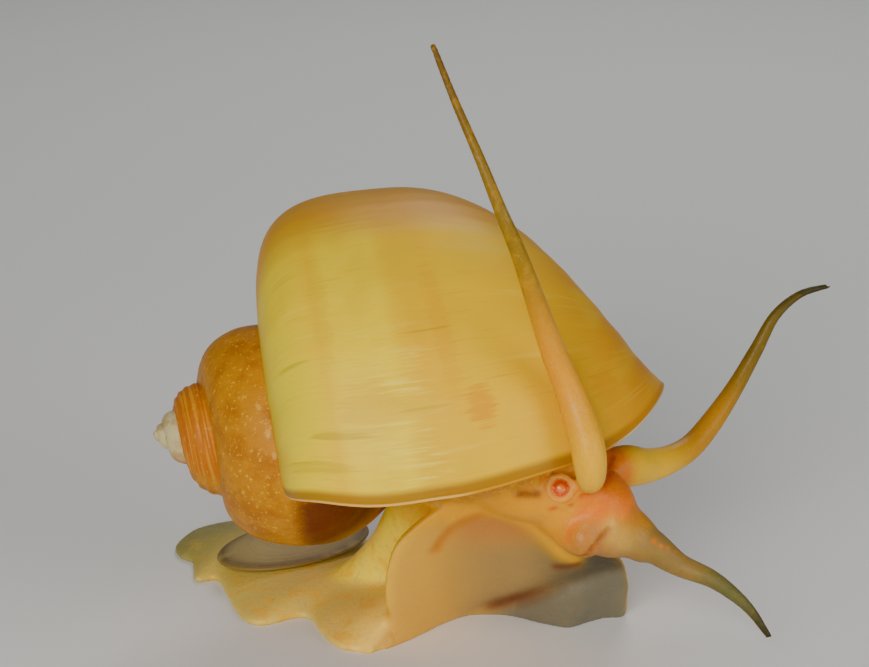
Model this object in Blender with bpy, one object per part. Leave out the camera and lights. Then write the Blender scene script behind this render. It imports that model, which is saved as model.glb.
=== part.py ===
# Golden apple snail, life size, heading right and a little towards the front.
# Sizes are in millimetres until MM turns them into metres. X runs along the
# shell towards the head, Y away from the front, Z up, and the floor is Z = 0.
import math

import bmesh
import bpy
import numpy as np
from mathutils import Matrix, Vector

MM = 0.001
GAP = 0.3                      # clearance between neighbouring parts
ORIGIN = (6.5, 2.0, 0.0)       # working point that becomes the origin

# Shell: a spiral that grows by SHELL_GROWTH in each turn. Angles are zero at the
# top, a quarter turn at the front, and the last turn ends at the lip.
SHELL_APEX = (-28.65, 19.41)   # x and z of the point the spiral grows from
SHELL_YAW = 0.077              # apex turned towards the front
SHELL_PITCH = 0.072            # mouth end raised
SHELL_GROWTH = 2.104
SUTURE_A = 11.38               # along the axis, from the apex, at the top of the last turn
PERIPHERY_A = 25.11
PERIPHERY_R = 21.97
BASE_LENGTH = (13.35, 20.3)   # from the widest place to the base, in the spire and the last turn
SHOULDER_POWER = (2.2, 3.5)    # squareness of the shoulder in the spire and the last turn
BASE_POWER = 2.09
DRIFT_ANGLES = tuple(math.radians(d) for d in (-360, -270, -180, -90, 0, 100))
DRIFT_ALONG = (0.0, 0.0, -0.87, 3.52, 0.58, -0.80)   # the last turn's slips along the axis
DRIFT_OUT = (0.0, 0.0, -3.16, 0.49, 1.22, -0.03)     # and away from it
LIP_PLACES = (0.0, 0.28, 0.47, 0.60, 0.70, 0.80, 1.0)       # from the suture to the base
LIP_ANGLES = (1.65, 1.550, 1.556, 1.508, 1.475, 1.375, 1.037)
SPIRE_TURNS = 3.9
WALL = 0.8
PARIETAL_WALL = 0.5
COLUMELLA_WALL = 1.7           # thicker by this much along the axis
MOUTH_DEPTH = math.radians(62)
MOUTH_CENTRE = (24.0, 13.0)    # along and out, sees every edge of the mouth
COLUMELLA_ENDS = (20.0, 49.0)  # along the axis, from the apex
COLUMELLA_RADII = (1.6, 1.2)
TURN_ROWS = 44                 # rows of the mesh in one turn
SEAM_COLUMN = 10               # column of the mesh on which the next turn lies
LAST_COLUMN = 20

# Foot: S runs from the tail to the front, L to the animal's left.
TAIL = (-27.3, 19.2)
FOOT_TURN = math.radians(-35)
FOOT_SEAM = 33.6

FLESH = (0.80, 0.62, 0.30, 1.0)
MATERIALS = {
    "shell_gold": ((0.84, 0.62, 0.12, 1.0), 0.30),
    "flesh_yellow": (FLESH, 0.42),
    "flesh_orange": ((0.80, 0.42, 0.16, 1.0), 0.42),
    "mantle_dark": ((0.20, 0.07, 0.05, 1.0), 0.5),
    "operculum_horn": ((0.42, 0.38, 0.32, 1.0), 0.45),
    "eye_dark": ((0.10, 0.04, 0.02, 1.0), 0.15),
}


def clear_scene():
    for thing in list(bpy.data.objects):
        bpy.data.objects.remove(thing, do_unlink=True)
    for group in list(bpy.data.collections):
        bpy.data.collections.remove(group)


def make_collection(name):
    group = bpy.data.collections.new(name)
    bpy.context.scene.collection.children.link(group)
    return group


def make_material(name):
    colour, roughness = MATERIALS[name]
    material = bpy.data.materials.new(name)
    material.use_nodes = True
    shader = material.node_tree.nodes["Principled BSDF"]
    shader.inputs["Base Color"].default_value = colour
    shader.inputs["Roughness"].default_value = roughness
    shader.inputs["Metallic"].default_value = 0.0
    return material


def mesh_object(name, points, faces, group, material=None):
    points = (np.asarray(points, float) - np.array(ORIGIN)) * MM
    mesh = bpy.data.meshes.new(name)
    triangles = [(f[0], f[k], f[k + 1]) for f in faces for k in range(1, len(f) - 1)]
    mesh.from_pydata([tuple(p) for p in points], [], triangles)
    mesh.update()
    for polygon in mesh.polygons:
        polygon.use_smooth = True
    thing = bpy.data.objects.new(name, mesh)
    if material is not None:
        mesh.materials.append(material)
    group.objects.link(thing)
    return thing


def keep_largest(thing):
    """Leave only the largest surface, counting faces as joined across edges."""
    work = bmesh.new()
    work.from_mesh(thing.data)
    work.faces.ensure_lookup_table()
    seen = set()
    groups = []
    for start in work.faces:
        if start in seen:
            continue
        seen.add(start)
        stack = [start]
        group = []
        while stack:
            face = stack.pop()
            group.append(face)
            for edge in face.edges:
                for other in edge.link_faces:
                    if other not in seen:
                        seen.add(other)
                        stack.append(other)
        groups.append(group)
    if len(groups) > 1:
        groups.sort(key=len)
        loose = [face for group in groups[:-1] for face in group]
        bmesh.ops.delete(work, geom=loose, context="FACES")
    bmesh.ops.triangulate(work, faces=list(work.faces))
    work.to_mesh(thing.data)
    work.free()


def apply_boolean(thing, cutter, operation, solver="EXACT"):
    modifier = thing.modifiers.new("cut", "BOOLEAN")
    modifier.operation = operation
    modifier.solver = solver
    modifier.object = cutter
    cutter.display_type = "WIRE"
    bpy.context.view_layer.update()
    depsgraph = bpy.context.evaluated_depsgraph_get()
    mesh = bpy.data.meshes.new_from_object(thing.evaluated_get(depsgraph))
    thing.modifiers.clear()
    materials = list(thing.data.materials)
    thing.data = mesh
    thing.data.materials.clear()
    for material in materials:
        thing.data.materials.append(material)
    for polygon in thing.data.polygons:
        polygon.material_index = 0
        polygon.use_smooth = True
    bpy.data.objects.remove(cutter, do_unlink=True)
    keep_largest(thing)


def grown(thing, group, by=GAP):
    """Copy of a part, swollen along its normals, to cut a clearance with."""
    mesh = thing.data.copy()
    normals = np.empty(len(mesh.vertices) * 3)
    mesh.vertices.foreach_get("normal", normals)
    coords = np.empty(len(mesh.vertices) * 3)
    mesh.vertices.foreach_get("co", coords)
    mesh.vertices.foreach_set("co", coords + normals * (by * 1.12 * MM))
    mesh.update()
    copy = bpy.data.objects.new(thing.name + "_cutter", mesh)
    copy.location = thing.location
    copy.rotation_euler = thing.rotation_euler
    group.objects.link(copy)
    return copy


def smooth_path(points, count):
    """Points evenly spaced along a smooth curve through the given ones."""
    q = np.asarray(points, float)
    q = np.vstack([2 * q[0] - q[1], q, 2 * q[-1] - q[-2]])
    t = np.linspace(0, 1, 24, endpoint=False)[:, None]
    pieces = []
    for i in range(1, len(q) - 2):
        a, b, c, d = q[i - 1], q[i], q[i + 1], q[i + 2]
        pieces.append(0.5 * (2 * b + (c - a) * t + (2 * a - 5 * b + 4 * c - d) * t ** 2
                             + (3 * b - a - 3 * c + d) * t ** 3))
    dense = np.vstack(pieces + [q[-2:-1]])
    length = np.concatenate([[0], np.cumsum(np.linalg.norm(np.diff(dense, axis=0), axis=1))])
    where = np.linspace(0, length[-1], count)
    return np.stack([np.interp(where, length, dense[:, k]) for k in range(q.shape[1])], 1)


def smooth_step(t):
    t = np.clip(t, 0, 1)
    return t * t * (3 - 2 * t)


def loft(name, rings, group, material=None):
    """Closed surface through rings of equal count, its ends closed with fans."""
    rings = np.asarray(rings, float)
    count, size, _ = rings.shape
    points = list(rings.reshape(-1, 3))
    points.append(rings[0].mean(0))
    points.append(rings[-1].mean(0))
    faces = []
    for i in range(count - 1):
        for j in range(size):
            k = (j + 1) % size
            faces.append((i * size + j, i * size + k, (i + 1) * size + k, (i + 1) * size + j))
    for j in range(size):
        k = (j + 1) % size
        faces.append((count * size, k, j))
        faces.append((count * size + 1, (count - 1) * size + j, (count - 1) * size + k))
    points = np.array(points)
    volume = 0.0
    for face in faces:
        for m in range(1, len(face) - 1):
            a, b, c = points[face[0]], points[face[m]], points[face[m + 1]]
            volume += float(np.dot(a, np.cross(b, c)))
    if volume < 0:
        faces = [tuple(reversed(f)) for f in faces]
    return mesh_object(name, points, faces, group, material)


def tube(name, path, radii, group, material=None, size=14, start="flat", end="flat", flatness=1.0,
         end_tangents=None):
    """Tapering limb along a path, with flat or rounded ends."""
    path = np.asarray(path, float)
    radii = np.asarray(radii, float)
    tangent = np.gradient(path, axis=0)
    if end_tangents is not None:
        tangent[0], tangent[-1] = end_tangents
    tangent /= np.linalg.norm(tangent, axis=1)[:, None]
    side = np.cross(tangent[0], (0.0, 0.0, 1.0))
    if np.linalg.norm(side) < 0.2:
        side = np.cross(tangent[0], (0.0, 1.0, 0.0))
    side /= np.linalg.norm(side)
    angle = np.linspace(0, 2 * math.pi, size, endpoint=False)
    rings = []

    def ring(centre, along, across, radius):
        up = np.cross(across, along)
        return centre + radius * (np.cos(angle)[:, None] * across + flatness * np.sin(angle)[:, None] * up)

    if start == "round":
        for turn in (80, 52, 25):
            lift = math.cos(math.radians(90 - turn))
            rings.append(ring(path[0] - tangent[0] * radii[0] * lift, tangent[0], side,
                              radii[0] * math.sin(math.radians(90 - turn))))
    for i in range(len(path)):
        side = side - tangent[i] * np.dot(side, tangent[i])
        side /= np.linalg.norm(side)
        rings.append(ring(path[i], tangent[i], side, radii[i]))
    if end == "round":
        for turn in (25, 52, 80):
            lift = math.cos(math.radians(90 - turn))
            rings.append(ring(path[-1] + tangent[-1] * radii[-1] * lift, tangent[-1], side,
                              radii[-1] * math.sin(math.radians(90 - turn))))
    return loft(name, rings, group, material)


def ellipsoid(name, centre, reach, group, material=None, turn=0.0, tilt=0.0, size=20):
    """Sphere stretched to three reaches, the first of them along turn and tilted upwards."""
    work = bmesh.new()
    bmesh.ops.create_uvsphere(work, u_segments=size, v_segments=size // 2, radius=MM)
    bmesh.ops.transform(work, matrix=Matrix.Diagonal((*reach, 1.0)), verts=list(work.verts))
    bmesh.ops.triangulate(work, faces=list(work.faces))
    mesh = bpy.data.meshes.new(name)
    work.to_mesh(mesh)
    work.free()
    for polygon in mesh.polygons:
        polygon.use_smooth = True
    if material is not None:
        mesh.materials.append(material)
    thing = bpy.data.objects.new(name, mesh)
    thing.location = (Vector(centre) - Vector(ORIGIN)) * MM
    thing.rotation_euler = (0.0, -tilt, turn)
    group.objects.link(thing)
    return thing


# Shell

def shell_axes():
    axis = np.array((math.cos(SHELL_PITCH) * math.cos(SHELL_YAW),
                     math.cos(SHELL_PITCH) * math.sin(SHELL_YAW), math.sin(SHELL_PITCH)))
    up = np.array((0.0, 0.0, 1.0)) - axis * axis[2]
    up /= np.linalg.norm(up)
    front = np.cross(axis, up)
    if front[1] > 0:
        front = -front
    return axis, up, front


def spline(knots, values, where, flat_start=True):
    """Smooth curve through the values at the knots, level at the start."""
    knots, values = np.array(knots, float), np.array(values, float)
    count = len(knots)
    step = np.diff(knots)
    rise = np.diff(values) / step
    matrix = np.zeros((count, count))
    right = np.zeros(count)
    matrix[0, :2] = (2 * step[0], step[0]) if flat_start else (1, 0)
    right[0] = 6 * rise[0] if flat_start else 0.0
    for i in range(1, count - 1):
        matrix[i, i - 1:i + 2] = step[i - 1], 2 * (step[i - 1] + step[i]), step[i]
        right[i] = 6 * (rise[i] - rise[i - 1])
    matrix[-1, -1] = 1
    bend = np.linalg.solve(matrix, right)
    where = np.clip(where, knots[0], knots[-1])
    i = np.clip(np.searchsorted(knots, where, side="right") - 1, 0, count - 2)
    low, high, h = knots[i], knots[i + 1], step[i]
    return (bend[i] * (high - where) ** 3 / (6 * h) + bend[i + 1] * (where - low) ** 3 / (6 * h)
            + (values[i] / h - bend[i] * h / 6) * (high - where)
            + (values[i + 1] / h - bend[i + 1] * h / 6) * (where - low))


def spire_radius(along, suture):
    """Radius of a turn of the spire at a distance along the axis."""
    fall = np.clip((PERIPHERY_A - along) / (PERIPHERY_A - SUTURE_A), 0, 1)
    rise = np.clip((along - PERIPHERY_A) / BASE_LENGTH[0], 0, 1)
    power = SHOULDER_POWER[0]
    upper = suture + (PERIPHERY_R - suture) * (1 - fall ** power) ** (1 / power)
    lower = PERIPHERY_R * (1 - rise ** BASE_POWER) ** (1 / BASE_POWER)
    return np.where(along < PERIPHERY_A, upper, lower)


def suture_radius():
    """The suture lies on the turn before."""
    radius = 0.5 * PERIPHERY_R
    for _ in range(30):
        radius = float(spire_radius(np.array(SUTURE_A * SHELL_GROWTH), radius)) / SHELL_GROWTH
    return radius


SUTURE_R = suture_radius()


def shell_profile(theta, v):
    """Position along and from the axis, v from 0 at the suture to 1 at the base."""
    theta, v = np.broadcast_arrays(np.asarray(theta, float), np.asarray(v, float))
    blend = smooth_step((theta + math.radians(200)) / math.radians(190))
    power = SHOULDER_POWER[0] + (SHOULDER_POWER[1] - SHOULDER_POWER[0]) * blend
    length = BASE_LENGTH[0] + (BASE_LENGTH[1] - BASE_LENGTH[0]) * blend
    slip = spline(DRIFT_ANGLES, DRIFT_ALONG, theta)
    widest = PERIPHERY_R + spline(DRIFT_ANGLES, DRIFT_OUT, theta)
    suture_a = SUTURE_A + slip
    suture_r = spire_radius(suture_a * SHELL_GROWTH, SUTURE_R) / SHELL_GROWTH
    middle = PERIPHERY_A + slip
    g = np.where(v < 0.5, v * 2, v * 2 - 1) * math.pi / 2
    c = np.clip(np.cos(g), 0, 1)
    s = np.clip(np.sin(g), 0, 1)
    along = np.where(v < 0.5, middle - (middle - suture_a) * c ** (2 / power),
                     middle + (length - slip) * s ** (2 / BASE_POWER))
    out = np.where(v < 0.5, suture_r + (widest - suture_r) * s ** (2 / power),
                   widest * c ** (2 / BASE_POWER))
    return along, out


def covered_v(theta):
    """Where on a turn's profile the next turn's suture lies."""
    slip = float(spline(DRIFT_ANGLES, DRIFT_ALONG, np.array(theta + 2 * math.pi)))
    along = (SUTURE_A + slip) * SHELL_GROWTH
    if along < PERIPHERY_A:
        share = (PERIPHERY_A - along) / (PERIPHERY_A - SUTURE_A)
        return math.acos(share ** (SHOULDER_POWER[0] / 2)) / math.pi
    share = (along - PERIPHERY_A) / BASE_LENGTH[0]
    return 0.5 + math.asin(share ** (BASE_POWER / 2)) / math.pi


def shell_point(theta, v):
    axis, up, front = shell_axes()
    theta = np.asarray(theta, float)
    along, out = shell_profile(theta, v)
    scale = SHELL_GROWTH ** (theta / (2 * math.pi))
    apex = np.array((SHELL_APEX[0], 0.0, SHELL_APEX[1]))
    return (apex + (scale * along)[..., None] * axis
            + (scale * out)[..., None] * (np.cos(theta)[..., None] * up + np.sin(theta)[..., None] * front))


def lip_angle(v):
    return spline(LIP_PLACES, LIP_ANGLES, np.asarray(v, float), False)


def column_place(theta, j):
    seam = covered_v(theta)
    if j <= SEAM_COLUMN:
        return seam * j / SEAM_COLUMN
    return seam + (1 - seam) * (j - SEAM_COLUMN) / (LAST_COLUMN - SEAM_COLUMN)


def shell_solid(name, group, material=None):
    """Outside of the shell, its mouth closed by a face."""
    seam, last = SEAM_COLUMN, LAST_COLUMN
    rows = int(SPIRE_TURNS * TURN_ROWS)
    points = []
    index = {}

    def vertex(i, j):
        if j == 0 and i + TURN_ROWS <= rows:
            return vertex(i + TURN_ROWS, seam)
        if (i, j) not in index:
            theta = LIP_ANGLES[0] - 2 * math.pi * i / TURN_ROWS
            place = column_place(theta, j)
            fade = float(1 - smooth_step(i / (0.45 * TURN_ROWS)))
            theta += (float(lip_angle(place)) - LIP_ANGLES[0]) * fade
            index[(i, j)] = len(points)
            points.append(shell_point(np.array(theta), np.array(place)))
        return index[(i, j)]

    faces = []
    for i in range(rows):
        for j in range(last if i < TURN_ROWS else seam):
            faces.append((vertex(i, j), vertex(i, j + 1), vertex(i + 1, j + 1), vertex(i + 1, j)))
    # the round cap on the apex
    rim = [vertex(rows, j) for j in range(seam, 0, -1)]
    rim += [vertex(i, 0) for i in range(rows, rows - TURN_ROWS, -1)]
    top = len(points)
    axis = shell_axes()[0]
    middle = np.mean([points[k] for k in rim], axis=0)
    points.append(middle - axis * 0.3)
    for k in range(len(rim)):
        faces.append((rim[(k + 1) % len(rim)], rim[k], top))
    # the mouth: lip, axis, then the turn before
    mouth = [vertex(0, j) for j in range(last + 1)]
    mouth += [vertex(i, last) for i in range(1, TURN_ROWS + 1)]
    mouth += [vertex(TURN_ROWS, j) for j in range(last - 1, seam, -1)]
    centre = len(points)
    points.append(mouth_ring(float(np.mean(LIP_ANGLES)), np.array((MOUTH_CENTRE[0],)),
                             np.array((MOUTH_CENTRE[1],)), False)[0])
    for k in range(len(mouth)):
        faces.append((mouth[(k + 1) % len(mouth)], mouth[k], centre))
    points = np.array(points)
    volume = 0.0
    for face in faces:
        for m in range(1, len(face) - 1):
            a, b, c = points[face[0]], points[face[m]], points[face[m + 1]]
            volume += float(np.dot(a, np.cross(b, c)))
    if volume < 0:
        faces = [tuple(reversed(f)) for f in faces]
    return mesh_object(name, points, faces, group, material)


def mouth_section(theta, inset, parietal, size=36):
    """Closed section of the hollow in units of the last turn: along and out."""
    a, r = shell_profile(theta, np.linspace(0, 1, 80))
    a2, r2 = shell_profile(theta - 2 * math.pi, np.linspace(1, covered_v(theta - 2 * math.pi), 40))
    far = np.linspace(a[-1], a2[0] / SHELL_GROWTH, 40)
    outline = np.concatenate([np.stack([a, r], 1), np.stack([far, 0 * far], 1)[1:-1],
                              np.stack([a2, r2], 1) / SHELL_GROWTH])
    centre = np.array(MOUTH_CENTRE)
    rel = outline - centre
    angle = np.arctan2(rel[:, 1], rel[:, 0])
    reach = np.linalg.norm(rel, axis=1)
    order = np.argsort(angle)
    grid = np.linspace(-math.pi, math.pi, 181)[:-1]
    rho = np.interp(grid, angle[order], reach[order], period=2 * math.pi)
    lean = np.abs(np.gradient(np.concatenate([rho[-1:], rho, rho[:1]]))[1:-1] / (grid[1] - grid[0]) / rho)
    wall = np.where(grid > 0.0, inset, parietal)
    near_axis = (grid > -2.2) & (grid < -0.45)
    wall = np.where(near_axis, inset + COLUMELLA_WALL, wall)
    rho = rho - wall * np.minimum(np.sqrt(1 + lean ** 2), 1.6)
    # round the corners: a running mean pulls the narrow places in
    for _ in range(3):
        soft = rho.copy()
        for k in (-4, -2, 2, 4):
            soft += np.roll(rho, k)
        rho = np.minimum(rho, soft / 5)
    pick = np.linspace(-math.pi, math.pi, size, endpoint=False)
    rr = np.interp(pick, grid, rho, period=2 * math.pi)
    return centre[0] + rr * np.cos(pick), centre[1] + rr * np.sin(pick)


def columella(name, group):
    """Pillar along the axis that closes the navel of the last turn."""
    axis = shell_axes()[0]
    apex = np.array((SHELL_APEX[0], 0.0, SHELL_APEX[1]))
    marks = np.linspace(*COLUMELLA_ENDS, 9)
    return tube(name, apex + marks[:, None] * axis, np.linspace(*COLUMELLA_RADII, 9), group, None, 12,
                "round", "round")


def mouth_ring(theta, along, out, leaning=True):
    """Section points set in space, the edge leaning as the lip does."""
    axis, up, front = shell_axes()
    apex = np.array((SHELL_APEX[0], 0.0, SHELL_APEX[1]))
    angle = np.full(len(along), theta)
    if leaning:
        v = np.linspace(0, 1, 60)
        reach, _ = shell_profile(LIP_ANGLES[0], v)
        angle = angle + np.interp(along, reach, lip_angle(v)) - LIP_ANGLES[0]
    scale = SHELL_GROWTH ** (angle / (2 * math.pi))
    return (apex + (scale * along)[:, None] * axis
            + (scale * out)[:, None] * (np.cos(angle)[:, None] * up + np.sin(angle)[:, None] * front))


def mouth_plug(name, group, material, inset, start, finish, steps):
    """Solid that fills the last turn between two angles behind the lip."""
    rings = []
    for k, theta in enumerate(np.linspace(start, finish, steps)):
        local = min(LIP_ANGLES[0] + theta, LIP_ANGLES[0])
        along, out = mouth_section(local, inset, inset - WALL + PARIETAL_WALL)
        shrink = 0.80 if k == steps - 1 else 1.0
        along = MOUTH_CENTRE[0] + (along - MOUTH_CENTRE[0]) * shrink
        out = MOUTH_CENTRE[1] + (out - MOUTH_CENTRE[1]) * shrink
        rings.append(mouth_ring(LIP_ANGLES[0] + theta, along, out))
    return loft(name, rings, group, material)


# Foot

def foot_point(s, l, z):
    c, q = math.cos(FOOT_TURN), math.sin(FOOT_TURN)
    return np.array((TAIL[0] + s * c - l * q, TAIL[1] + s * q + l * c, z))


def flat_section(s, right, left, height, crest, edge=0.7, half=9):
    """Section of the creeping foot: flat sole, thin margins, domed back."""
    ring = []
    for t in np.linspace(0, 1, half):
        ring.append(foot_point(s, right + (left - right) * t, 0.0))
    ring.append(foot_point(s, left + 0.25, edge * 0.5))
    for t in np.linspace(1, 0, half + 2):
        dome = (1 - abs(2 * t - 1) ** 2.2) * (1 + crest * (0.5 - t))
        ring.append(foot_point(s, right + (left - right) * t, edge + (height - edge) * dome))
    ring.append(foot_point(s, right - 0.25, edge * 0.5))
    return ring


FOOT_RIGHT = ((0.0, -0.6), (1.0, -2.6), (2.8, -3.9), (4.8, -4.3), (7.0, -6.8), (8.5, -8.0), (9.8, -6.5),
              (12.2, -8.1), (16.3, -11.5), (19.5, -13.4), (21.4, -12.8), (22.8, -9.6), (24.4, -9.1),
              (27.6, -11.5), (30.9, -13.1), (33.6, -12.6))
FOOT_LEFT = ((0.0, 4.5), (2.0, 7.4), (6.0, 9.5), (12.0, 10.6), (22.0, 10.4), (33.6, 9.6))
FOOT_HEIGHT = ((0.0, 1.0), (4.0, 1.6), (10.0, 2.2), (20.0, 2.4), (28.0, 2.8), (33.6, 4.6))


def along_table(table, s):
    table = np.array(table)
    dense = smooth_path(table, 120)
    return float(np.interp(s, dense[:, 0], dense[:, 1]))


def foot_rear(name, group, material):
    rings = []
    for s in np.concatenate([[0.0, 0.5], np.linspace(1.0, FOOT_SEAM - GAP, 30)]):
        right, left = along_table(FOOT_RIGHT, s), along_table(FOOT_LEFT, s)
        height = along_table(FOOT_HEIGHT, s)
        if s == 0.0:
            right, left = right + 0.7, left - 0.7
        rings.append(flat_section(s, right, left, height, 0.35))
    return loft(name, rings, group, material)


# The raised front: rim of the sole, fold where it leaves the floor, far margin.
RIM = ((-4.0, -9.2, 0.9), (-4.9, -9.4, 4.6), (-4.8, -9.8, 8.2), (-3.6, -10.2, 11.6), (0.0, -10.4, 15.0),
       (3.0, -10.4, 16.4), (6.8, -10.4, 16.0), (10.6, -9.2, 14.4), (13.6, -8.2, 12.0),
       (16.8, -6.8, 9.6), (18.9, -5.2, 7.2), (19.7, -3.4, 3.8))
FOLD = ((-6.0, -10.0), (-4.6, -9.4), (-2.9, -7.8), (-1.0, -5.6), (1.0, -3.1), (3.2, -1.2), (5.6, -0.8),
        (8.2, -1.3), (11.2, -3.2), (13.7, -4.1), (15.9, -2.6), (17.6, -1.6), (19.2, -1.5))
FAR = ((4.7, 9.4), (6.2, 9.6), (7.8, 9.6), (9.4, 9.4), (11.0, 8.8), (12.8, 8.0),
       (14.4, 7.0), (15.8, 5.6), (17.2, 4.0), (18.4, 2.2), (19.2, 0.6), (19.7, -1.0))
# The crease across the sole: x, height above the floor, depth.
CREASE = ((3.0, 0.0, 0.0), (4.5, 0.3, 0.8), (6.7, 1.1, 1.6), (9.1, 2.4, 1.6), (11.3, 4.0, 1.1),
          (13.5, 5.7, 0.7), (16.7, 6.8, 0.7), (19.0, 7.0, 0.2))


def crease_at(x):
    marks = np.array(CREASE)
    return np.interp(x, marks[:, 0], marks[:, 1]), np.interp(x, marks[:, 0], marks[:, 2])


def crease_depth(x, z):
    """How far the sole falls back: deepest on the crease, softer above it than below, none on the floor."""
    height, depth = crease_at(x)
    reach = np.where(z > height, 1.8, 0.8)
    return depth * np.exp(-((z - height) / reach) ** 2) * np.clip(z / 0.6, 0, 1)


def sole_arc(top, middle, floor):
    """Hollow section of the sole from its rim to the floor, with one of its points on the crease."""
    q = np.linspace(0, 1, 200)[:, None]
    fine = (1 - q) ** 2 * top + 2 * q * (1 - q) * middle + q * q * floor
    above = fine[:, 2] > crease_at(fine[:, 0])[0]
    turn = float(np.clip(above.sum() / 200, 0.3, 0.85))
    q = np.concatenate([np.linspace(0, turn, 6), np.linspace(turn, 1, 5)[1:]])[:, None]
    arc = (1 - q) ** 2 * top + 2 * q * (1 - q) * middle + q * q * floor
    arc[:, 1] += crease_depth(arc[:, 0], arc[:, 2]) * smooth_step(q[:, 0] * 4)
    return list(arc)


def foot_front(name, group, material, count=22):
    rim = smooth_path(RIM, count)
    fold = smooth_path(FOLD, count)
    far = smooth_path(FAR, count)
    rings = []
    for k in range(count):
        t = k / (count - 1)
        swell = math.sin(math.pi * t)
        top = rim[k]
        floor = np.append(fold[k], 0.0)
        middle = (top + floor) / 2 + np.array((0.0, -1.6 * swell, -0.1 * top[2] * swell))
        ring = sole_arc(top, middle, floor)
        end = np.append(far[k], 0.0)
        for q in np.linspace(0, 1, 5)[1:]:
            ring.append(floor + (end - floor) * q)
        edge = end + np.array((0.1, 0.15, 0.7))
        ring.append(edge)
        back = top + np.array((0.1, 1.0, 0.35 * smooth_step(t * 6)))
        height = 4.2 + (min(top[2], 11.0) - 4.2) * float(smooth_step(t * 4)) * 0.6
        height = min(height, max(top[2] * 0.8, 3.6)) * (1 - 0.55 * t ** 3)
        hump = back * 0.45 + edge * 0.55
        hump[2] = height + 1.5
        for q in np.linspace(0, 1, 9)[1:]:
            ring.append((1 - q) ** 2 * edge + 2 * q * (1 - q) * hump + q * q * back)
        rings.append(ring)
    return loft(name, rings, group, material)


STALK = (
    # height, middle in x and y, reach in x and y
    (2.2, -1.5, 4.6, 9.5, 4.6),
    (4.5, -0.6, 3.8, 8.0, 4.8),
    (8.0, 0.6, 1.6, 7.0, 5.2),
    (12.0, 1.8, -1.4, 6.8, 5.4),
    (16.0, 3.4, -4.8, 7.8, 5.6),
    (19.0, 5.2, -8.0, 9.2, 6.2),
    (23.0, 6.0, -9.4, 9.6, 6.4),
)


def body_stalk(name, group, material):
    dense = smooth_path(STALK, 16)
    angle = np.linspace(0, 2 * math.pi, 28, endpoint=False)
    rings = []
    for z, x, y, reach_x, reach_y in dense:
        rings.append(np.stack([x + reach_x * np.cos(angle), y + reach_y * np.sin(angle),
                               np.full(28, z)], 1))
    return loft(name, rings, group, material)


# Head and feelers

HEAD_LOBES = (
    # middle, reach, turn and tilt
    ((9.8, -9.2, 18.0), (6.8, 5.0, 3.9), -0.15, 0.0),     # neck
    ((14.4, -9.2, 15.7), (5.8, 4.5, 4.3), -0.45, -0.1),   # brow
    ((16.8, -10.2, 13.7), (4.0, 3.6, 3.1), -0.3, -0.3),   # snout
    ((12.7, -12.2, 18.2), (2.9, 2.2, 2.0), -0.3, 0.0),    # swelling under the right eye
    ((15.9, -3.4, 17.4), (2.6, 2.2, 2.0), 0.3, 0.0),      # swelling under the left eye
)
# Each limb's path and widths, from root to tip.
RIGHT_TENTACLE = ((14.9, -12.4, 19.2), (14.9, -15.0, 20.0), (14.8, -18.0, 21.2), (14.7, -20.5, 22.15),
                  (14.65, -22.1, 23.3), (14.5, -22.7, 25.0), (14.2, -22.4, 26.8), (13.6, -21.6, 28.6),
                  (12.9, -21.0, 30.6), (12.1, -20.8, 32.6), (11.0, -21.4, 35.4), (9.2, -24.0, 41.2),
                  (7.6, -25.6, 46.1), (5.9, -26.0, 50.3), (4.1, -25.2, 54.7), (1.8, -23.2, 59.7),
                  (-0.1, -21.0, 64.1))
RIGHT_TENTACLE_WIDTHS = (2.4, 2.2, 2.05, 2.1, 2.8, 3.25, 3.25, 3.15, 2.9, 2.65, 2.35, 1.9, 1.5, 1.2, 0.95, 0.75,
                         0.55)
LEFT_TENTACLE = ((18.0, -4.0, 17.2), (19.4, -2.8, 17.1), (21.4, -0.4, 16.25), (23.9, 2.0, 16.0),
                 (26.3, 4.2, 16.6), (28.6, 6.2, 18.6), (31.1, 8.2, 21.7), (33.3, 9.4, 25.4),
                 (35.2, 10.2, 28.8), (37.8, 11.2, 30.8), (40.8, 12.0, 31.5))
LEFT_TENTACLE_WIDTHS = (4.5, 4.4, 3.6, 2.9, 2.55, 2.3, 1.8, 1.45, 1.1, 0.8, 0.5)
LEFT_PALP = ((17.4, -9.2, 13.2), (18.5, -9.7, 12.95), (19.7, -10.3, 12.6), (20.7, -10.8, 12.0),
             (21.8, -11.2, 11.55), (24.1, -11.8, 10.1), (27.05, -12.6, 9.05), (29.2, -13.2, 7.71),
             (31.05, -13.8, 6.06), (32.87, -14.2, 3.5))
LEFT_PALP_WIDTHS = (5.8, 5.7, 5.0, 4.1, 3.2, 2.3, 1.8, 1.4, 1.0, 0.55)
RIGHT_PALP = ((14.0, -10.6, 14.3), (14.2, -12.2, 13.9), (14.5, -13.2, 13.6))
RIGHT_PALP_WIDTHS = (5.8, 5.6, 4.4)


def limb(path, widths, count):
    dense = smooth_path(path, count)
    marks = np.asarray(path, float)
    step = np.concatenate([[0], np.cumsum(np.linalg.norm(np.diff(marks, axis=0), axis=1))])
    where = np.linspace(0, step[-1], count)
    return dense, np.interp(where, step, np.array(widths) / 2)


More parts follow.
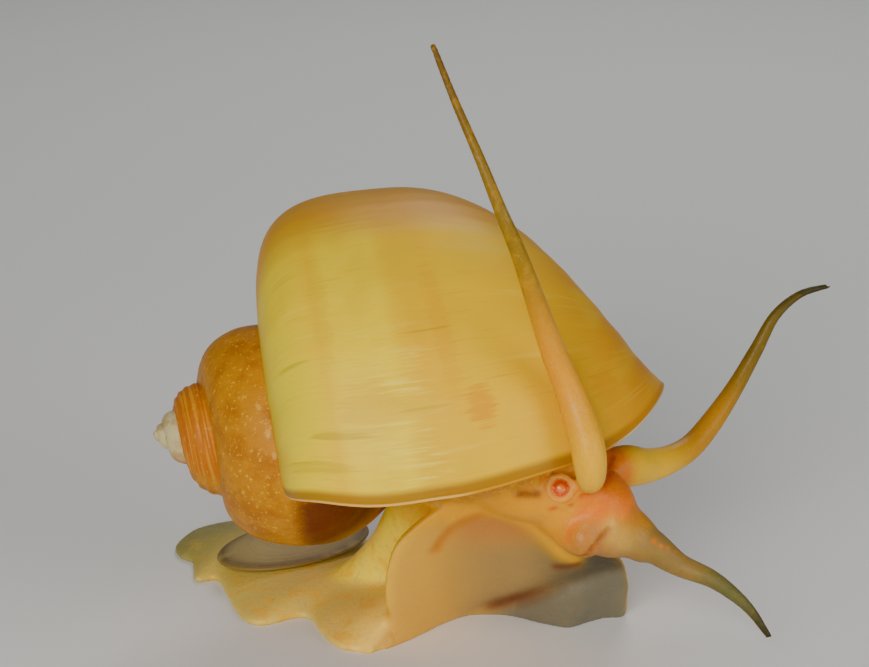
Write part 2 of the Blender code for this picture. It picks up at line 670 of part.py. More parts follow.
def limb_pieces(names, path, widths, cuts, group, material, size=14):
    """One limb as lengths that meet face to face."""
    count = 61
    dense, radii = limb(path, widths, count)
    length = np.concatenate([[0], np.cumsum(np.linalg.norm(np.diff(dense, axis=0), axis=1))])
    total = length[-1]
    bounds = [0.0] + [c * total for c in cuts] + [total]
    made = []
    lean = np.gradient(dense, axis=0)
    for k, name in enumerate(names):
        low = bounds[k] + (GAP / 2 if k else 0)
        high = bounds[k + 1] - (GAP / 2 if k < len(names) - 1 else 0)
        where = np.linspace(low, high, 13)
        points = np.stack([np.interp(where, length, dense[:, m]) for m in range(3)], 1)
        r = np.interp(where, length, radii)
        ends = [[np.interp(bounds[k + side], length, lean[:, m]) for m in range(3)] for side in (0, 1)]
        made.append(tube(name, points, r, group, material, size, "round" if k == 0 else "flat",
                         "round" if k == len(names) - 1 else "flat", end_tangents=ends))
    return made


OPERCULUM = (13.7, 1.8, 6.2, 9.3)   # middle along and across the foot, reach along and across
OPERCULUM_TURN = 0.2


def operculum_plate(name, group, material):
    """Thin oval plate that lies on the back of the rear foot, a little dished."""
    middle_s, middle_l, reach_s, reach_l = OPERCULUM
    c, t = math.cos(OPERCULUM_TURN), math.sin(OPERCULUM_TURN)
    angle = np.linspace(0, 2 * math.pi, 28, endpoint=False)
    rings = []
    for share, lift in ((0.35, -0.32), (0.75, -0.32), (0.97, -0.22), (1.0, 0.0), (0.97, 0.22),
                        (0.75, 0.3), (0.35, 0.3)):
        ring = []
        for q in angle:
            ahead = reach_s * share * math.cos(q)
            left = reach_l * share * math.sin(q)
            s = middle_s + ahead * c + left * t
            l = middle_l - ahead * t + left * c
            height = 2.75 - 0.35 * share ** 2 + 0.35 * share ** 4 * math.cos(q)
            ring.append(foot_point(s, l, height + lift))
        rings.append(ring)
    return loft(name, rings, group, material)


EYES = {
    "eye_right": ((12.1, -14.2, 19.2), 1.15),
    "eye_left": ((15.4, -1.7, 18.9), 1.0),
}


def build():
    clear_scene()
    snail = make_collection("apple_snail")
    cutters = make_collection("cutters")
    cutters.hide_render = True
    slots = {name: make_material(name) for name in MATERIALS}
    gold = slots["shell_gold"]
    yellow = slots["flesh_yellow"]
    orange = slots["flesh_orange"]

    shell = shell_solid("shell", snail, gold)
    apply_boolean(shell, columella("pillar", cutters), "UNION", "MANIFOLD")
    hollow = mouth_plug("hollow", cutters, None, WALL, math.radians(14), -MOUTH_DEPTH, 12)
    apply_boolean(shell, hollow, "DIFFERENCE", "MANIFOLD")
    mantle = mouth_plug("mantle", snail, slots["mantle_dark"], WALL + 1.5 * GAP,
                        -math.radians(9), -MOUTH_DEPTH + math.radians(5), 7)

    rear = foot_rear("foot_rear", snail, yellow)
    front = foot_front("foot_front", snail, yellow)
    stalk = body_stalk("body_stalk", snail, yellow)
    near = limb_pieces(("tentacle_right_base", "tentacle_right_middle", "tentacle_right_tip"),
                       RIGHT_TENTACLE, RIGHT_TENTACLE_WIDTHS, (0.33, 0.67), snail, yellow)
    away = limb_pieces(("tentacle_left_base", "tentacle_left_middle", "tentacle_left_tip"),
                       LEFT_TENTACLE, LEFT_TENTACLE_WIDTHS, (0.36, 0.68), snail, yellow)
    palp = limb_pieces(("palp_left_base", "palp_left_tip"), LEFT_PALP, LEFT_PALP_WIDTHS, (0.55,),
                       snail, orange)
    stub = limb_pieces(("palp_right",), RIGHT_PALP, RIGHT_PALP_WIDTHS, (), snail, orange)
    eyes = [ellipsoid(name, centre, (radius,) * 3, snail, slots["eye_dark"], size=16)
            for name, (centre, radius) in EYES.items()]
    plate = operculum_plate("operculum", snail, slots["operculum_horn"])

    for other in (front, palp[0]):
        apply_boolean(stub[0], grown(other, cutters), "DIFFERENCE", "MANIFOLD")
    neck, *lobes = HEAD_LOBES
    head = ellipsoid("head", neck[0], neck[1], snail, orange, *neck[2:])
    for centre, reach, turn, tilt in lobes:
        lobe = ellipsoid("head_lobe", centre, reach, cutters, None, turn, tilt)
        apply_boolean(head, lobe, "UNION")
    for other in (front, shell, near[0], away[0], palp[0], stub[0], *eyes):
        apply_boolean(head, grown(other, cutters), "DIFFERENCE", "MANIFOLD")
    for other in (front, plate):
        apply_boolean(rear, grown(other, cutters), "DIFFERENCE", "MANIFOLD")
    for other in (shell, mantle, front, rear, head, near[0], away[0], *eyes):
        apply_boolean(stalk, grown(other, cutters), "DIFFERENCE", "MANIFOLD")


build()
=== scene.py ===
# Looks of a golden apple snail, life size, creeping to the right with its long feelers out.
# Working sizes are in millimetres: X along the shell towards the head, Y away
# from the viewer, Z up from the floor. place() turns them into the frame's metres.
import math
import bpy
import bmesh
import numpy as np
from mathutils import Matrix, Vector, kdtree


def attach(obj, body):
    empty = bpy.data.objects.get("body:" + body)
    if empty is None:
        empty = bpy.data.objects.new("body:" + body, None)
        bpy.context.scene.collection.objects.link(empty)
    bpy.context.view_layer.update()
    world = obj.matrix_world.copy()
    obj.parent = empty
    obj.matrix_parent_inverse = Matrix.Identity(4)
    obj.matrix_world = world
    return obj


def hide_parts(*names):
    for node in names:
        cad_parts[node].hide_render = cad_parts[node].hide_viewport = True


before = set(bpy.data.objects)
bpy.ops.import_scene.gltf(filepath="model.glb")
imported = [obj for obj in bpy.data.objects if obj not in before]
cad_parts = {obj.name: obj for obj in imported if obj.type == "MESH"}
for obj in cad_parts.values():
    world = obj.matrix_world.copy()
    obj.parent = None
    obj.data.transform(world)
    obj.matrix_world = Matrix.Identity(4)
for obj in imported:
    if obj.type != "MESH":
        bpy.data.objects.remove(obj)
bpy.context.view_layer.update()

mm = 0.001
origin = np.array((6.5, 2.0, 0.0))     # working point at the frame's origin


# working millimetres to the frame's metres
def place(points):
    return (np.asarray(points, float) - origin) * mm


# display colour, 0 to 1, to the linear one that shaders use
def linear(colour):
    c = np.asarray(colour, float)
    return np.where(c <= 0.04045, c / 12.92, ((c + 0.055) / 1.055) ** 2.4)


def srgb(*colour):
    return tuple(float(x) for x in linear(colour)) + (1.0,)


# 3 t^2 - 2 t^3
def smoothStep(t):
    t = np.clip(t, 0, 1)
    return t * t * (3 - 2 * t)


# 0 below low, 1 above high, smooth between
def between(low, high, x):
    return smoothStep((np.asarray(x, float) - low) / (high - low))


# 1 between full and fade, 0 below low and above end
def window(x, low, full, fade, end):
    return between(low, full, x) * (1 - between(fade, end, x))


# angles round a circle, the last one short of the first
def circle(count):
    return np.linspace(0, 2 * math.pi, count, endpoint=False)


# v / |v|; tiny keeps a vector without length from dividing by 0
def unit(v, tiny=0.0):
    return v / (np.linalg.norm(v, axis=-1, keepdims=True) + tiny)


# distance of each point from a middle, in shares of the reach along each axis
def distanceFrom(points, middle, reach=(1.0, 1.0, 1.0)):
    return np.linalg.norm((points - np.array(middle)) / np.array(reach), axis=1)


# length of a path up to each of its points
def lengthsAlong(points):
    return np.concatenate([[0], np.cumsum(np.linalg.norm(np.diff(points, axis=0), axis=1))])


# mesh helpers

# mesh from working points and lists of faces; uvs are per corner, values per point
def meshPiece(name, points, faces, uvs=None, values=None):
    mesh = bpy.data.meshes.new(name)
    rows = [row for group in faces for row in np.asarray(group).tolist()]
    mesh.from_pydata(place(points).tolist(), [], rows)
    for layer, corner in (uvs or {}).items():
        target = mesh.uv_layers.new(name=layer)
        target.data.foreach_set("uv", np.asarray(corner, np.float32).ravel())
    for layer, value in (values or {}).items():
        addValues(mesh, layer, value)
    mesh.update()
    mesh.polygons.foreach_set("use_smooth", np.ones(len(mesh.polygons), bool))
    thing = bpy.data.objects.new(name, mesh)
    bpy.context.scene.collection.objects.link(thing)
    facesOut(thing)
    return thing


# a number or a colour for each point, read by a material
def addValues(mesh, layer, value):
    value = np.asarray(value, np.float32)
    flat = value.ndim == 1
    attribute = mesh.attributes.new(layer, "FLOAT" if flat else "FLOAT_COLOR", "POINT")
    attribute.data.foreach_set("value" if flat else "color", value.ravel())


# turns the faces outwards where the mesh is inside out
def facesOut(thing):
    work = bmesh.new()
    work.from_mesh(thing.data)
    if work.calc_volume(signed=True) < 0:
        bmesh.ops.reverse_faces(work, faces=work.faces)
        work.to_mesh(thing.data)
    work.free()


# quads of a grid of rows by columns; around joins the last column to the first
def gridFaces(rows, columns, around=False):
    i = np.arange(rows - 1)[:, None]
    j = np.arange(columns if around else columns - 1)[None, :]
    k = (j + 1) % columns
    return np.stack([i * columns + j, i * columns + k, (i + 1) * columns + k, (i + 1) * columns + j],
                    -1).reshape(-1, 4)


# quads cut in two, with the caps' triangles; turned round where the volume, sum a . (b x c) / 6, is below 0
def outwardTris(points, quads, caps):
    tris = np.concatenate([quads[:, [0, 1, 2]], quads[:, [0, 2, 3]], caps])
    a, b, c = (points[tris[:, n]] for n in range(3))
    return tris[:, ::-1] if (a * np.cross(b, c)).sum() < 0 else tris


# closed surface through rings of points, with a fan on each end
def closeRings(rings):
    rows, size = rings.shape[:2]
    points = np.vstack([rings.reshape(-1, 3), rings[0].mean(0), rings[-1].mean(0)])
    j = np.arange(size)
    k = (j + 1) % size
    last = (rows - 1) * size
    caps = np.concatenate([np.stack([j * 0 + rows * size, k, j], 1),
                           np.stack([j * 0 + rows * size + 1, last + j, last + k], 1)])
    return points, outwardTris(points, gridFaces(rows, size, True), caps)


# points evenly spaced along a Catmull-Rom curve through the given ones
def smoothPath(points, count):
    q = np.asarray(points, float)
    q = np.vstack([2 * q[0] - q[1], q, 2 * q[-1] - q[-2]])
    t = np.linspace(0, 1, 40, endpoint=False)[:, None]
    a, b, c, d = (q[k:len(q) - 3 + k][:, None, :] for k in range(4))
    dense = 0.5 * (2 * b + (c - a) * t + (2 * a - 5 * b + 4 * c - d) * t ** 2
                   + (3 * b - a - 3 * c + d) * t ** 3)
    dense = np.vstack([dense.reshape(-1, q.shape[1]), q[-2:-1]])
    length = lengthsAlong(dense)
    where = np.linspace(0, length[-1], count)
    return np.stack([np.interp(where, length, dense[:, k]) for k in range(q.shape[1])], 1)


# circles along a smooth path: its line and the radius there, evened out over a number of rounds
def pathCircles(path, widths, rows, rounds):
    step = lengthsAlong(np.asarray(path, float))
    radius = np.interp(np.linspace(0, step[-1], rows), step, np.array(widths) / 2)
    for _ in range(rounds):
        radius[1:-1] = (radius[:-2] + radius[1:-1] * 2 + radius[2:]) / 4
    return smoothPath(path, rows), radius


# numbers of the points in the box round a line, with a margin
def inBox(points, line, margin):
    low, high = line.min(0) - margin, line.max(0) + margin
    return np.where(((points > low) & (points < high)).all(1))[0]


# for each point the number of the nearest target and how far it is
def nearest(points, targets):
    tree = kdtree.KDTree(len(targets))
    for k, p in enumerate(targets):
        tree.insert(Vector(p), k)
    tree.balance()
    found = np.array([tree.find(Vector(p))[1:] for p in points]).reshape(-1, 2)
    return found[:, 0].astype(int), found[:, 1]


# shader helpers

# one socket, so that shader maths reads as an expression
class Sum:
    def __init__(self, material, socket):
        self.material = material
        self.socket = socket

    def math(self, operation, first, second):
        return self.material.node("ShaderNodeMath", {"operation": operation}, {0: first, 1: second})

    def __add__(self, other):
        return self.math("ADD", self, other)

    def __mul__(self, other):
        return self.math("MULTIPLY", self, other)

    def __sub__(self, other):
        return self.math("SUBTRACT", self, other)

    def __rsub__(self, other):
        return self.math("SUBTRACT", other, self)

    __radd__ = __add__
    __rmul__ = __mul__

    # 0 below low, 1 above high, smooth between
    def step(self, low, high):
        return self.material.node("ShaderNodeMapRange", {"interpolation_type": "SMOOTHSTEP"},
                                  {"Value": self, "From Min": low, "From Max": high})

    # 1 between full and fade, 0 below low and above end
    def window(self, low, full, fade, end):
        return self.step(low, full) * (1 - self.step(fade, end))


# a Principled material; every other node comes from node()
class Material:
    def __init__(self, name, constants):
        self.data = bpy.data.materials.new(name)
        self.data.use_nodes = True
        self.shader = self.data.node_tree.nodes["Principled BSDF"]
        for socket, value in constants.items():
            self.shader.inputs[socket].default_value = value

    # a node from its type, its settings and the values or links of its sockets
    def node(self, kind, settings=None, sockets=None, output=0):
        tree = self.data.node_tree
        made = tree.nodes.new(kind)
        for key, value in (settings or {}).items():
            if key == "stops":
                self.fillRamp(made.color_ramp, value)
            else:
                setattr(made, key, value)
        for key, value in (sockets or {}).items():
            if isinstance(value, Sum):
                tree.links.new(value.socket, made.inputs[key])
            elif value is not None:
                made.inputs[key].default_value = value
        return Sum(self, made.outputs[output])

    def fillRamp(self, ramp, stops):
        while len(ramp.elements) < len(stops):
            ramp.elements.new(1.0)
        for element, (where, colour) in zip(ramp.elements, stops):
            element.position = where
            element.color = colour

    # display colours by value
    def ramp(self, value, stops):
        stops = [(where, srgb(*colour)) for where, colour in stops]
        return self.node("ShaderNodeValToRGB", {"stops": stops}, {0: value})

    # first * (1 - share) + second * share, of sockets or display colours
    def mix(self, share, first, second):
        first, second = (c if isinstance(c, Sum) else srgb(*c) for c in (first, second))
        return self.node("ShaderNodeMix", {"data_type": "RGBA"}, {0: share, 6: first, 7: second}, 2)

    # object coordinates in millimetres
    def point(self):
        where = self.node("ShaderNodeTexCoord", output=3)
        return self.node("ShaderNodeVectorMath", {"operation": "MULTIPLY"}, {0: where, 1: (1000.0,) * 3})

    def axes(self, vector):
        return [self.node("ShaderNodeSeparateXYZ", {}, {0: vector}, k) for k in range(3)]

    def join(self, x, y, z=0.0):
        return self.node("ShaderNodeCombineXYZ", {}, {0: x, 1: y, 2: z})

    def noise(self, vector, scale, detail=3.0, rough=0.6, twist=0.0):
        return self.node("ShaderNodeTexNoise", {}, {"Vector": vector, "Scale": scale, "Detail": detail,
                                                    "Roughness": rough, "Distortion": twist})

    # a mesh's own value, or its colour where output is 0
    def attribute(self, name, output=2):
        return self.node("ShaderNodeAttribute", {"attribute_name": name}, output=output)

    def bump(self, height, distance, strength=1.0):
        return self.node("ShaderNodeBump", {}, {"Height": height, "Distance": distance,
                                                "Strength": strength})

    def feed(self, socket, value):
        self.data.node_tree.links.new(value.socket, self.shader.inputs[socket])


# a finished piece: its material and the nodes it stands for; its slot is not used
def finish(piece, material, slot, *nodes):
    piece.data.materials.clear()
    piece.data.materials.append(material)
    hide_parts(*nodes)
    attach(piece, "root")
    print(piece.name, len(piece.data.polygons))


# the shell's spiral, as in the part

shell = {
    "apex": (-28.65, 0.0, 19.41), "yaw": 0.077, "pitch": 0.072, "growth": 2.104,
    "sutureA": 11.38, "peripheryA": 25.11, "peripheryR": 21.97,
    "baseLength": (13.35, 20.3), "shoulderPower": (2.2, 3.5), "basePower": 2.09,
    "driftAngles": np.radians((-360, -270, -180, -90, 0, 100)),
    "driftAlong": (0.0, 0.0, -0.87, 3.52, 0.58, -0.80),
    "driftOut": (0.0, 0.0, -3.16, 0.49, 1.22, -0.03),
    "lipPlaces": (0.0, 0.28, 0.47, 0.60, 0.70, 0.80, 1.0),
    "lipAngles": (1.65, 1.550, 1.556, 1.508, 1.475, 1.375, 1.037),
    "spireTurns": 5.2, "turnRows": 240, "seamColumn": 34, "lastColumn": 72,
    # the older turns' form changes into the last one's from this angle before 0, over the next one
    "changeFrom": math.radians(200), "changeOver": math.radians(190),
    "lipFade": 0.45,                             # turns over which the rows stop leaning with the lip
    "waveHeight": 0.07, "cordHeight": 0.26, "pitHeight": 0.06, "tipHeight": 0.25,
    # walls of the mouth, and the angles about its centre where the axis and the outer wall lie
    "wall": 0.8, "parietalWall": 0.5, "columellaWall": 1.7, "mouthCentre": (24.0, 13.0),
    "axisSpan": (-2.5, -2.1, -0.6, -0.2), "outerSpan": (-0.4, 0.1, 2.9, 3.1), "steepest": 1.6,
    # the edge: steps across it, its greatest width and its roundness; then the wall's least share, gain
    # and reach behind it, the angles of the rings there, and first, last and number of the hollow's
    "edgeSteps": (0.2, 0.45, 0.7, 0.9), "edgeWidth": 0.6, "edgeRound": 0.28, "edgeWall": (0.55, 0.45, 0.12),
    "edgeDepths": (0.004, 0.012, 0.03, 0.06, 0.1), "hollowDepths": (0.15, math.radians(62), 22),
    "pillarEnds": (20.0, 49.0), "pillarWidths": (3.2, 2.4),
}


# axis from the apex, and the directions at angle 0 and a quarter turn on
def shellAxes():
    yaw, pitch = shell["yaw"], shell["pitch"]
    axis = np.array((math.cos(pitch) * math.cos(yaw), math.cos(pitch) * math.sin(yaw), math.sin(pitch)))
    up = np.array((0.0, 0.0, 1.0)) - axis * axis[2]
    up /= np.linalg.norm(up)
    front = np.cross(axis, up)
    return axis, up, front if front[1] < 0 else -front


# cubic spline through the values at the knots, level at its start where asked
def splineThrough(knots, values, where, levelStart=True):
    knots, values = np.array(knots, float), np.array(values, float)
    count = len(knots)
    step = np.diff(knots)
    rise = np.diff(values) / step
    matrix = np.eye(count)
    right = np.zeros(count)
    if levelStart:
        matrix[0, :2] = 2 * step[0], step[0]
        right[0] = 6 * rise[0]
    for i in range(1, count - 1):
        matrix[i, i - 1:i + 2] = step[i - 1], 2 * (step[i - 1] + step[i]), step[i]
        right[i] = 6 * (rise[i] - rise[i - 1])
    bend = np.linalg.solve(matrix, right)
    where = np.clip(where, knots[0], knots[-1])
    i = np.clip(np.searchsorted(knots, where, side="right") - 1, 0, count - 2)
    low, high, h = knots[i], knots[i + 1], step[i]
    return (bend[i] * (high - where) ** 3 / (6 * h) + bend[i + 1] * (where - low) ** 3 / (6 * h)
            + (values[i] / h - bend[i] * h / 6) * (high - where)
            + (values[i + 1] / h - bend[i + 1] * h / 6) * (where - low))


# share of the way from the widest place down to the suture, and up to the base
def fallAndRise(along):
    fall = np.clip((shell["peripheryA"] - along) / (shell["peripheryA"] - shell["sutureA"]), 0, 1)
    return fall, np.clip((along - shell["peripheryA"]) / shell["baseLength"][0], 0, 1)


# two superellipse arcs that meet at the widest place
def spireRadius(along, suture):
    fall, rise = fallAndRise(along)
    power = shell["shoulderPower"][0]
    upper = suture + (shell["peripheryR"] - suture) * (1 - fall ** power) ** (1 / power)
    lower = shell["peripheryR"] * (1 - rise ** shell["basePower"]) ** (1 / shell["basePower"])
    return np.where(along < shell["peripheryA"], upper, lower)


# the suture lies on the turn before: r = radius(suture * growth) / growth, by repetition
def sutureRadius():
    radius = 0.5 * shell["peripheryR"]
    for _ in range(30):
        radius = float(spireRadius(np.array(shell["sutureA"] * shell["growth"]), radius)) / shell["growth"]
    return radius


shell["sutureR"] = sutureRadius()


# along and out from the axis; v is 0 at the suture, 0.5 at the widest place, 1 at the base
def shellProfile(theta, v):
    theta, v = np.broadcast_arrays(np.asarray(theta, float), np.asarray(v, float))
    blend = smoothStep((theta + shell["changeFrom"]) / shell["changeOver"])
    powers, lengths = shell["shoulderPower"], shell["baseLength"]
    power = powers[0] + (powers[1] - powers[0]) * blend
    length = lengths[0] + (lengths[1] - lengths[0]) * blend
    slip = splineThrough(shell["driftAngles"], shell["driftAlong"], theta)
    widest = shell["peripheryR"] + splineThrough(shell["driftAngles"], shell["driftOut"], theta)
    sutureA = shell["sutureA"] + slip
    sutureR = spireRadius(sutureA * shell["growth"], shell["sutureR"]) / shell["growth"]
    middle = shell["peripheryA"] + slip
    g = np.where(v < 0.5, v * 2, v * 2 - 1) * math.pi / 2
    c = np.clip(np.cos(g), 0, 1)
    s = np.clip(np.sin(g), 0, 1)
    base = 2 / shell["basePower"]
    along = np.where(v < 0.5, middle - (middle - sutureA) * c ** (2 / power),
                     middle + (length - slip) * s ** base)
    out = np.where(v < 0.5, sutureR + (widest - sutureR) * s ** (2 / power), widest * c ** base)
    return along, out


# the place v at which the next turn's suture lies on the turn at theta
def coveredPlace(theta):
    slip = splineThrough(shell["driftAngles"], shell["driftAlong"], np.asarray(theta, float) + 2 * math.pi)
    along = (shell["sutureA"] + slip) * shell["growth"]
    fall, rise = fallAndRise(along)
    return np.where(along < shell["peripheryA"],
                    np.arccos(fall ** (shell["shoulderPower"][0] / 2)) / math.pi,
                    0.5 + np.arcsin(rise ** (shell["basePower"] / 2)) / math.pi)


# apex + growth^(theta / turn) * (along * axis + out * radial direction)
def spiralPoint(theta, along, out):
    axis, up, front = shellAxes()
    scale = shell["growth"] ** (theta / (2 * math.pi))
    return (np.array(shell["apex"]) + (scale * along)[..., None] * axis
            + (scale * out)[..., None] * (np.cos(theta)[..., None] * up + np.sin(theta)[..., None] * front))


# angle at which the shell ends, for each place
def lipAngle(v):
    return splineThrough(shell["lipPlaces"], shell["lipAngles"], np.asarray(v, float), False)


# places of a row's columns: even up to the seam column, even beyond it
def columnPlaces(theta):
    seam, last = shell["seamColumn"], shell["lastColumn"]
    covered = coveredPlace(theta)[..., None]
    j = np.arange(last + 1)
    return np.where(j <= seam, covered * j / seam, covered + (1 - covered) * (j - seam) / (last - seam))


# the hollow's edge in units of the turn: outer wall, axis, then the turn before
def mouthOutline(theta):
    seam, last, turn = shell["seamColumn"], shell["lastColumn"], shell["turnRows"]
    a, r = shellProfile(theta, columnPlaces(np.array(theta)))
    v = columnPlaces(np.array(theta - 2 * math.pi))[last - 1:seam:-1]
    a2, r2 = shellProfile(theta - 2 * math.pi, v)
    growth = shell["growth"]
    k = np.arange(1, turn + 1) / turn
    far = a[-1] * growth ** -k * (1 - k) + k * shellProfile(theta - 2 * math.pi, 1.0)[0] / growth
    return np.concatenate([a, far, a2 / growth]), np.concatenate([r, far * 0, r2 / growth])


# the edge drawn in towards the mouth's centre by the wall's thickness, its corners rounded
def mouthInset(theta, wall, parietal):
    along, out = mouthOutline(theta)
    centre = shell["mouthCentre"]
    angle = np.arctan2(out - centre[1], along - centre[0])
    reach = np.hypot(out - centre[1], along - centre[0])
    order = np.argsort(angle)
    grid = np.linspace(-math.pi, math.pi, 721)[:-1]
    rho = np.interp(grid, angle[order], reach[order], period=2 * math.pi)
    lean = (np.roll(rho, -1) - np.roll(rho, 1)) / (2 * (grid[1] - grid[0])) / rho
    thick = parietal + (wall - parietal) * window(grid, *shell["outerSpan"])
    thick = thick + shell["columellaWall"] * (wall / shell["wall"]) * window(grid, *shell["axisSpan"])
    rho = rho - thick * np.minimum(np.sqrt(1 + lean ** 2), shell["steepest"])
    for _ in range(6):
        soft = sum(np.roll(rho, k) for k in (-16, -10, -5, 0, 5, 10, 16)) / 7
        rho = np.minimum(rho, soft)
    for _ in range(4):
        rho = (np.roll(rho, 4) + rho + np.roll(rho, -4)) / 3
    r = np.interp(angle, grid, rho, period=2 * math.pi)
    return centre[0] + r * np.cos(angle), centre[1] + r * np.sin(angle)


# a ring of the hollow at a depth behind the lip, leaning as the lip does, drawn in by share
def mouthRing(depth, wall, parietal, share=1.0):
    start = shell["lipAngles"][0]
    a, r = mouthInset(start - depth, wall, parietal)
    reach, _ = shellProfile(start, np.linspace(0, 1, 90))
    angle = start - depth + np.interp(a, reach, lipAngle(np.linspace(0, 1, 90)) - start)
    centre = shell["mouthCentre"]
    return spiralPoint(angle, centre[0] + (a - centre[0]) * share, centre[1] + (r - centre[1]) * share)


# millimetres out: growth waves that run with the lip, cords along the third turn, pits on older ones
def reliefOf(theta, v):
    age = (lipAngle(v) - theta) / (2 * math.pi)
    wave = (0.5 * np.sin(age * 61 + 2 * np.sin(age * 17)) + 0.35 * np.sin(age * 143 + v * 2)
            + 0.25 * np.sin(age * 230 + 3 * np.sin(age * 31 + v)))
    fade = window(v, 0.0, 0.02, 0.93, 1.0)
    cords = window(age, 1.7, 1.85, 2.6, 2.8) * np.sin(v * 62)
    pits = between(0.75, 0.95, age) * np.sin(v * 37 + 3 * np.sin(age * 40)) * np.sin(age * 90 + 4 * v)
    size = shell["growth"] ** np.minimum(theta / (2 * math.pi), 0)
    return (shell["waveHeight"] * wave + shell["cordHeight"] * cords
            + shell["pitHeight"] * pits) * fade * size


# outside grid by angle and place, the cap on the apex, then the mouth's rounded edge and hollow
def makeShell():
    seam, last, turn = shell["seamColumn"], shell["lastColumn"], shell["turnRows"]
    rows = int(shell["spireTurns"] * turn)
    i = np.arange(rows + 1)
    start = shell["lipAngles"][0]
    theta = start - 2 * math.pi * i / turn
    v = columnPlaces(theta)
    fade = 1 - smoothStep(i / (shell["lipFade"] * turn))
    theta = theta[:, None] + (lipAngle(v) - start) * fade[:, None]
    along, out = shellProfile(theta, v)
    grid = spiralPoint(theta, along, out)
    normal = unit(np.cross(np.gradient(grid, axis=0), np.gradient(grid, axis=1)), 1e-12)
    outward = grid - spiralPoint(theta, along, out * 0.0)
    normal *= np.sign((normal * outward).sum(2, keepdims=True) + 1e-9)
    grid = grid + normal * reliefOf(theta, v)[..., None]
    flat = grid.reshape(-1, 3)
    number = np.arange(len(flat)).reshape(rows + 1, last + 1)
    joined = number.copy()
    joined[:rows + 1 - turn, 0] = number[turn:, seam]        # a suture lies on the turn before
    coords = np.stack([(lipAngle(v) - theta) / (2 * math.pi), v], -1)
    quads, corners = [], []
    for first, end, columns in ((0, turn, last), (turn, rows, seam)):
        for grids, kept in ((joined, quads), (coords, corners)):
            kept.append(np.stack([grids[first:end, :columns], grids[first:end, 1:columns + 1],
                                  grids[first + 1:end + 1, 1:columns + 1],
                                  grids[first + 1:end + 1, :columns]], 2).reshape(-1, 4, *grids.shape[2:]))
    # cap on the apex
    rim = np.concatenate([joined[rows, seam:0:-1], joined[rows:rows - turn:-1, 0]])
    tip = flat[rim].mean(0) - shellAxes()[0] * shell["tipHeight"]
    points = [flat, tip[None]]
    total = len(flat) + 1
    tris = [np.stack([np.roll(rim, -1), rim, np.full(len(rim), total - 1)], 1)]
    ends = [np.full((len(rim), 3, 2), (shell["spireTurns"], 0.2))]
    # mouth: its edge, rounded rings across the wall, then the hollow
    edge = np.concatenate([joined[0], joined[1:turn + 1, last], joined[turn, last - 1:seam:-1]])
    count = len(edge)
    depths = np.concatenate([shell["edgeDepths"], np.linspace(*shell["hollowDepths"])])
    least, gain, over = shell["edgeWall"]
    thin = least + gain * smoothStep(depths / over)
    rings = [mouthRing(d, shell["wall"] * t, shell["parietalWall"] * t) for d, t in zip(depths, thin)]
    outer, inner = flat[edge], rings[0]
    forward = unit(np.cross(shellAxes()[0], outer - np.array(shell["apex"])), 1e-9)
    forward *= np.sign((forward * (flat[edge[10]] - grid[4, 10])).sum(1).mean())
    width = np.minimum(np.linalg.norm(outer - inner, axis=1)[:, None], shell["edgeWidth"])
    across = [outer + (inner - outer) * (1 - math.cos(math.pi * t)) / 2
              + forward * np.sin(math.pi * t) * width * shell["edgeRound"] for t in shell["edgeSteps"]]
    rings = np.array(across + rings)
    points += [rings.reshape(-1, 3), rings[-1].mean(0)[None]]
    ringNumber = np.vstack([edge[None], total + np.arange(rings.shape[0] * count).reshape(-1, count)])
    side = np.roll(ringNumber, -1, axis=1)
    quads.append(np.stack([side[:-1], ringNumber[:-1], ringNumber[1:], side[1:]], -1).reshape(-1, 4))
    # inside: u is -2 and less with depth, v is 0 on the outer wall and 1 on the turn before
    placeOf = window(np.arange(count), last - 8, last + 20, count - 10, count - 1)
    depth = -2.0 - 0.01 * np.arange(len(ringNumber))
    inside = np.stack(np.broadcast_arrays(depth[:, None], placeOf[None, :]), -1)
    beside = np.roll(inside, -1, axis=1)
    corners.append(np.stack([beside[:-1], inside[:-1], inside[1:], beside[1:]], 2).reshape(-1, 4, 2))
    tris.append(np.stack([side[-1], ringNumber[-1], np.full(count, ringNumber[-1, -1] + 1)], 1))
    ends.append(np.full((count, 3, 2), (-3.0, 0.5)))
    points = np.concatenate(points)
    quads, tris = np.concatenate(quads), np.concatenate(tris)
    # the points that joining left unused go
    used = np.zeros(len(points), bool)
    used[quads.ravel()] = True
    used[tris.ravel()] = True
    renumber = np.cumsum(used) - 1
    corner = np.concatenate([np.concatenate(corners).reshape(-1, 2), np.concatenate(ends).reshape(-1, 2)])
    return meshPiece("shell_fine", points[used], [renumber[quads], renumber[tris]], {"growth": corner})


# round bar along the axis that closes the navel
def makePillar():
    marks = np.linspace(*shell["pillarEnds"], 9)[:, None]
    path = np.array(shell["apex"]) + marks * shellAxes()[0]
    points, tris = closeRings(tubeRings(path, np.linspace(*shell["pillarWidths"], 9), 60, 32))
    return meshPiece("shell_pillar", points, [tris], {"growth": np.full((len(tris) * 3, 2), (-2.1, 0.6))})


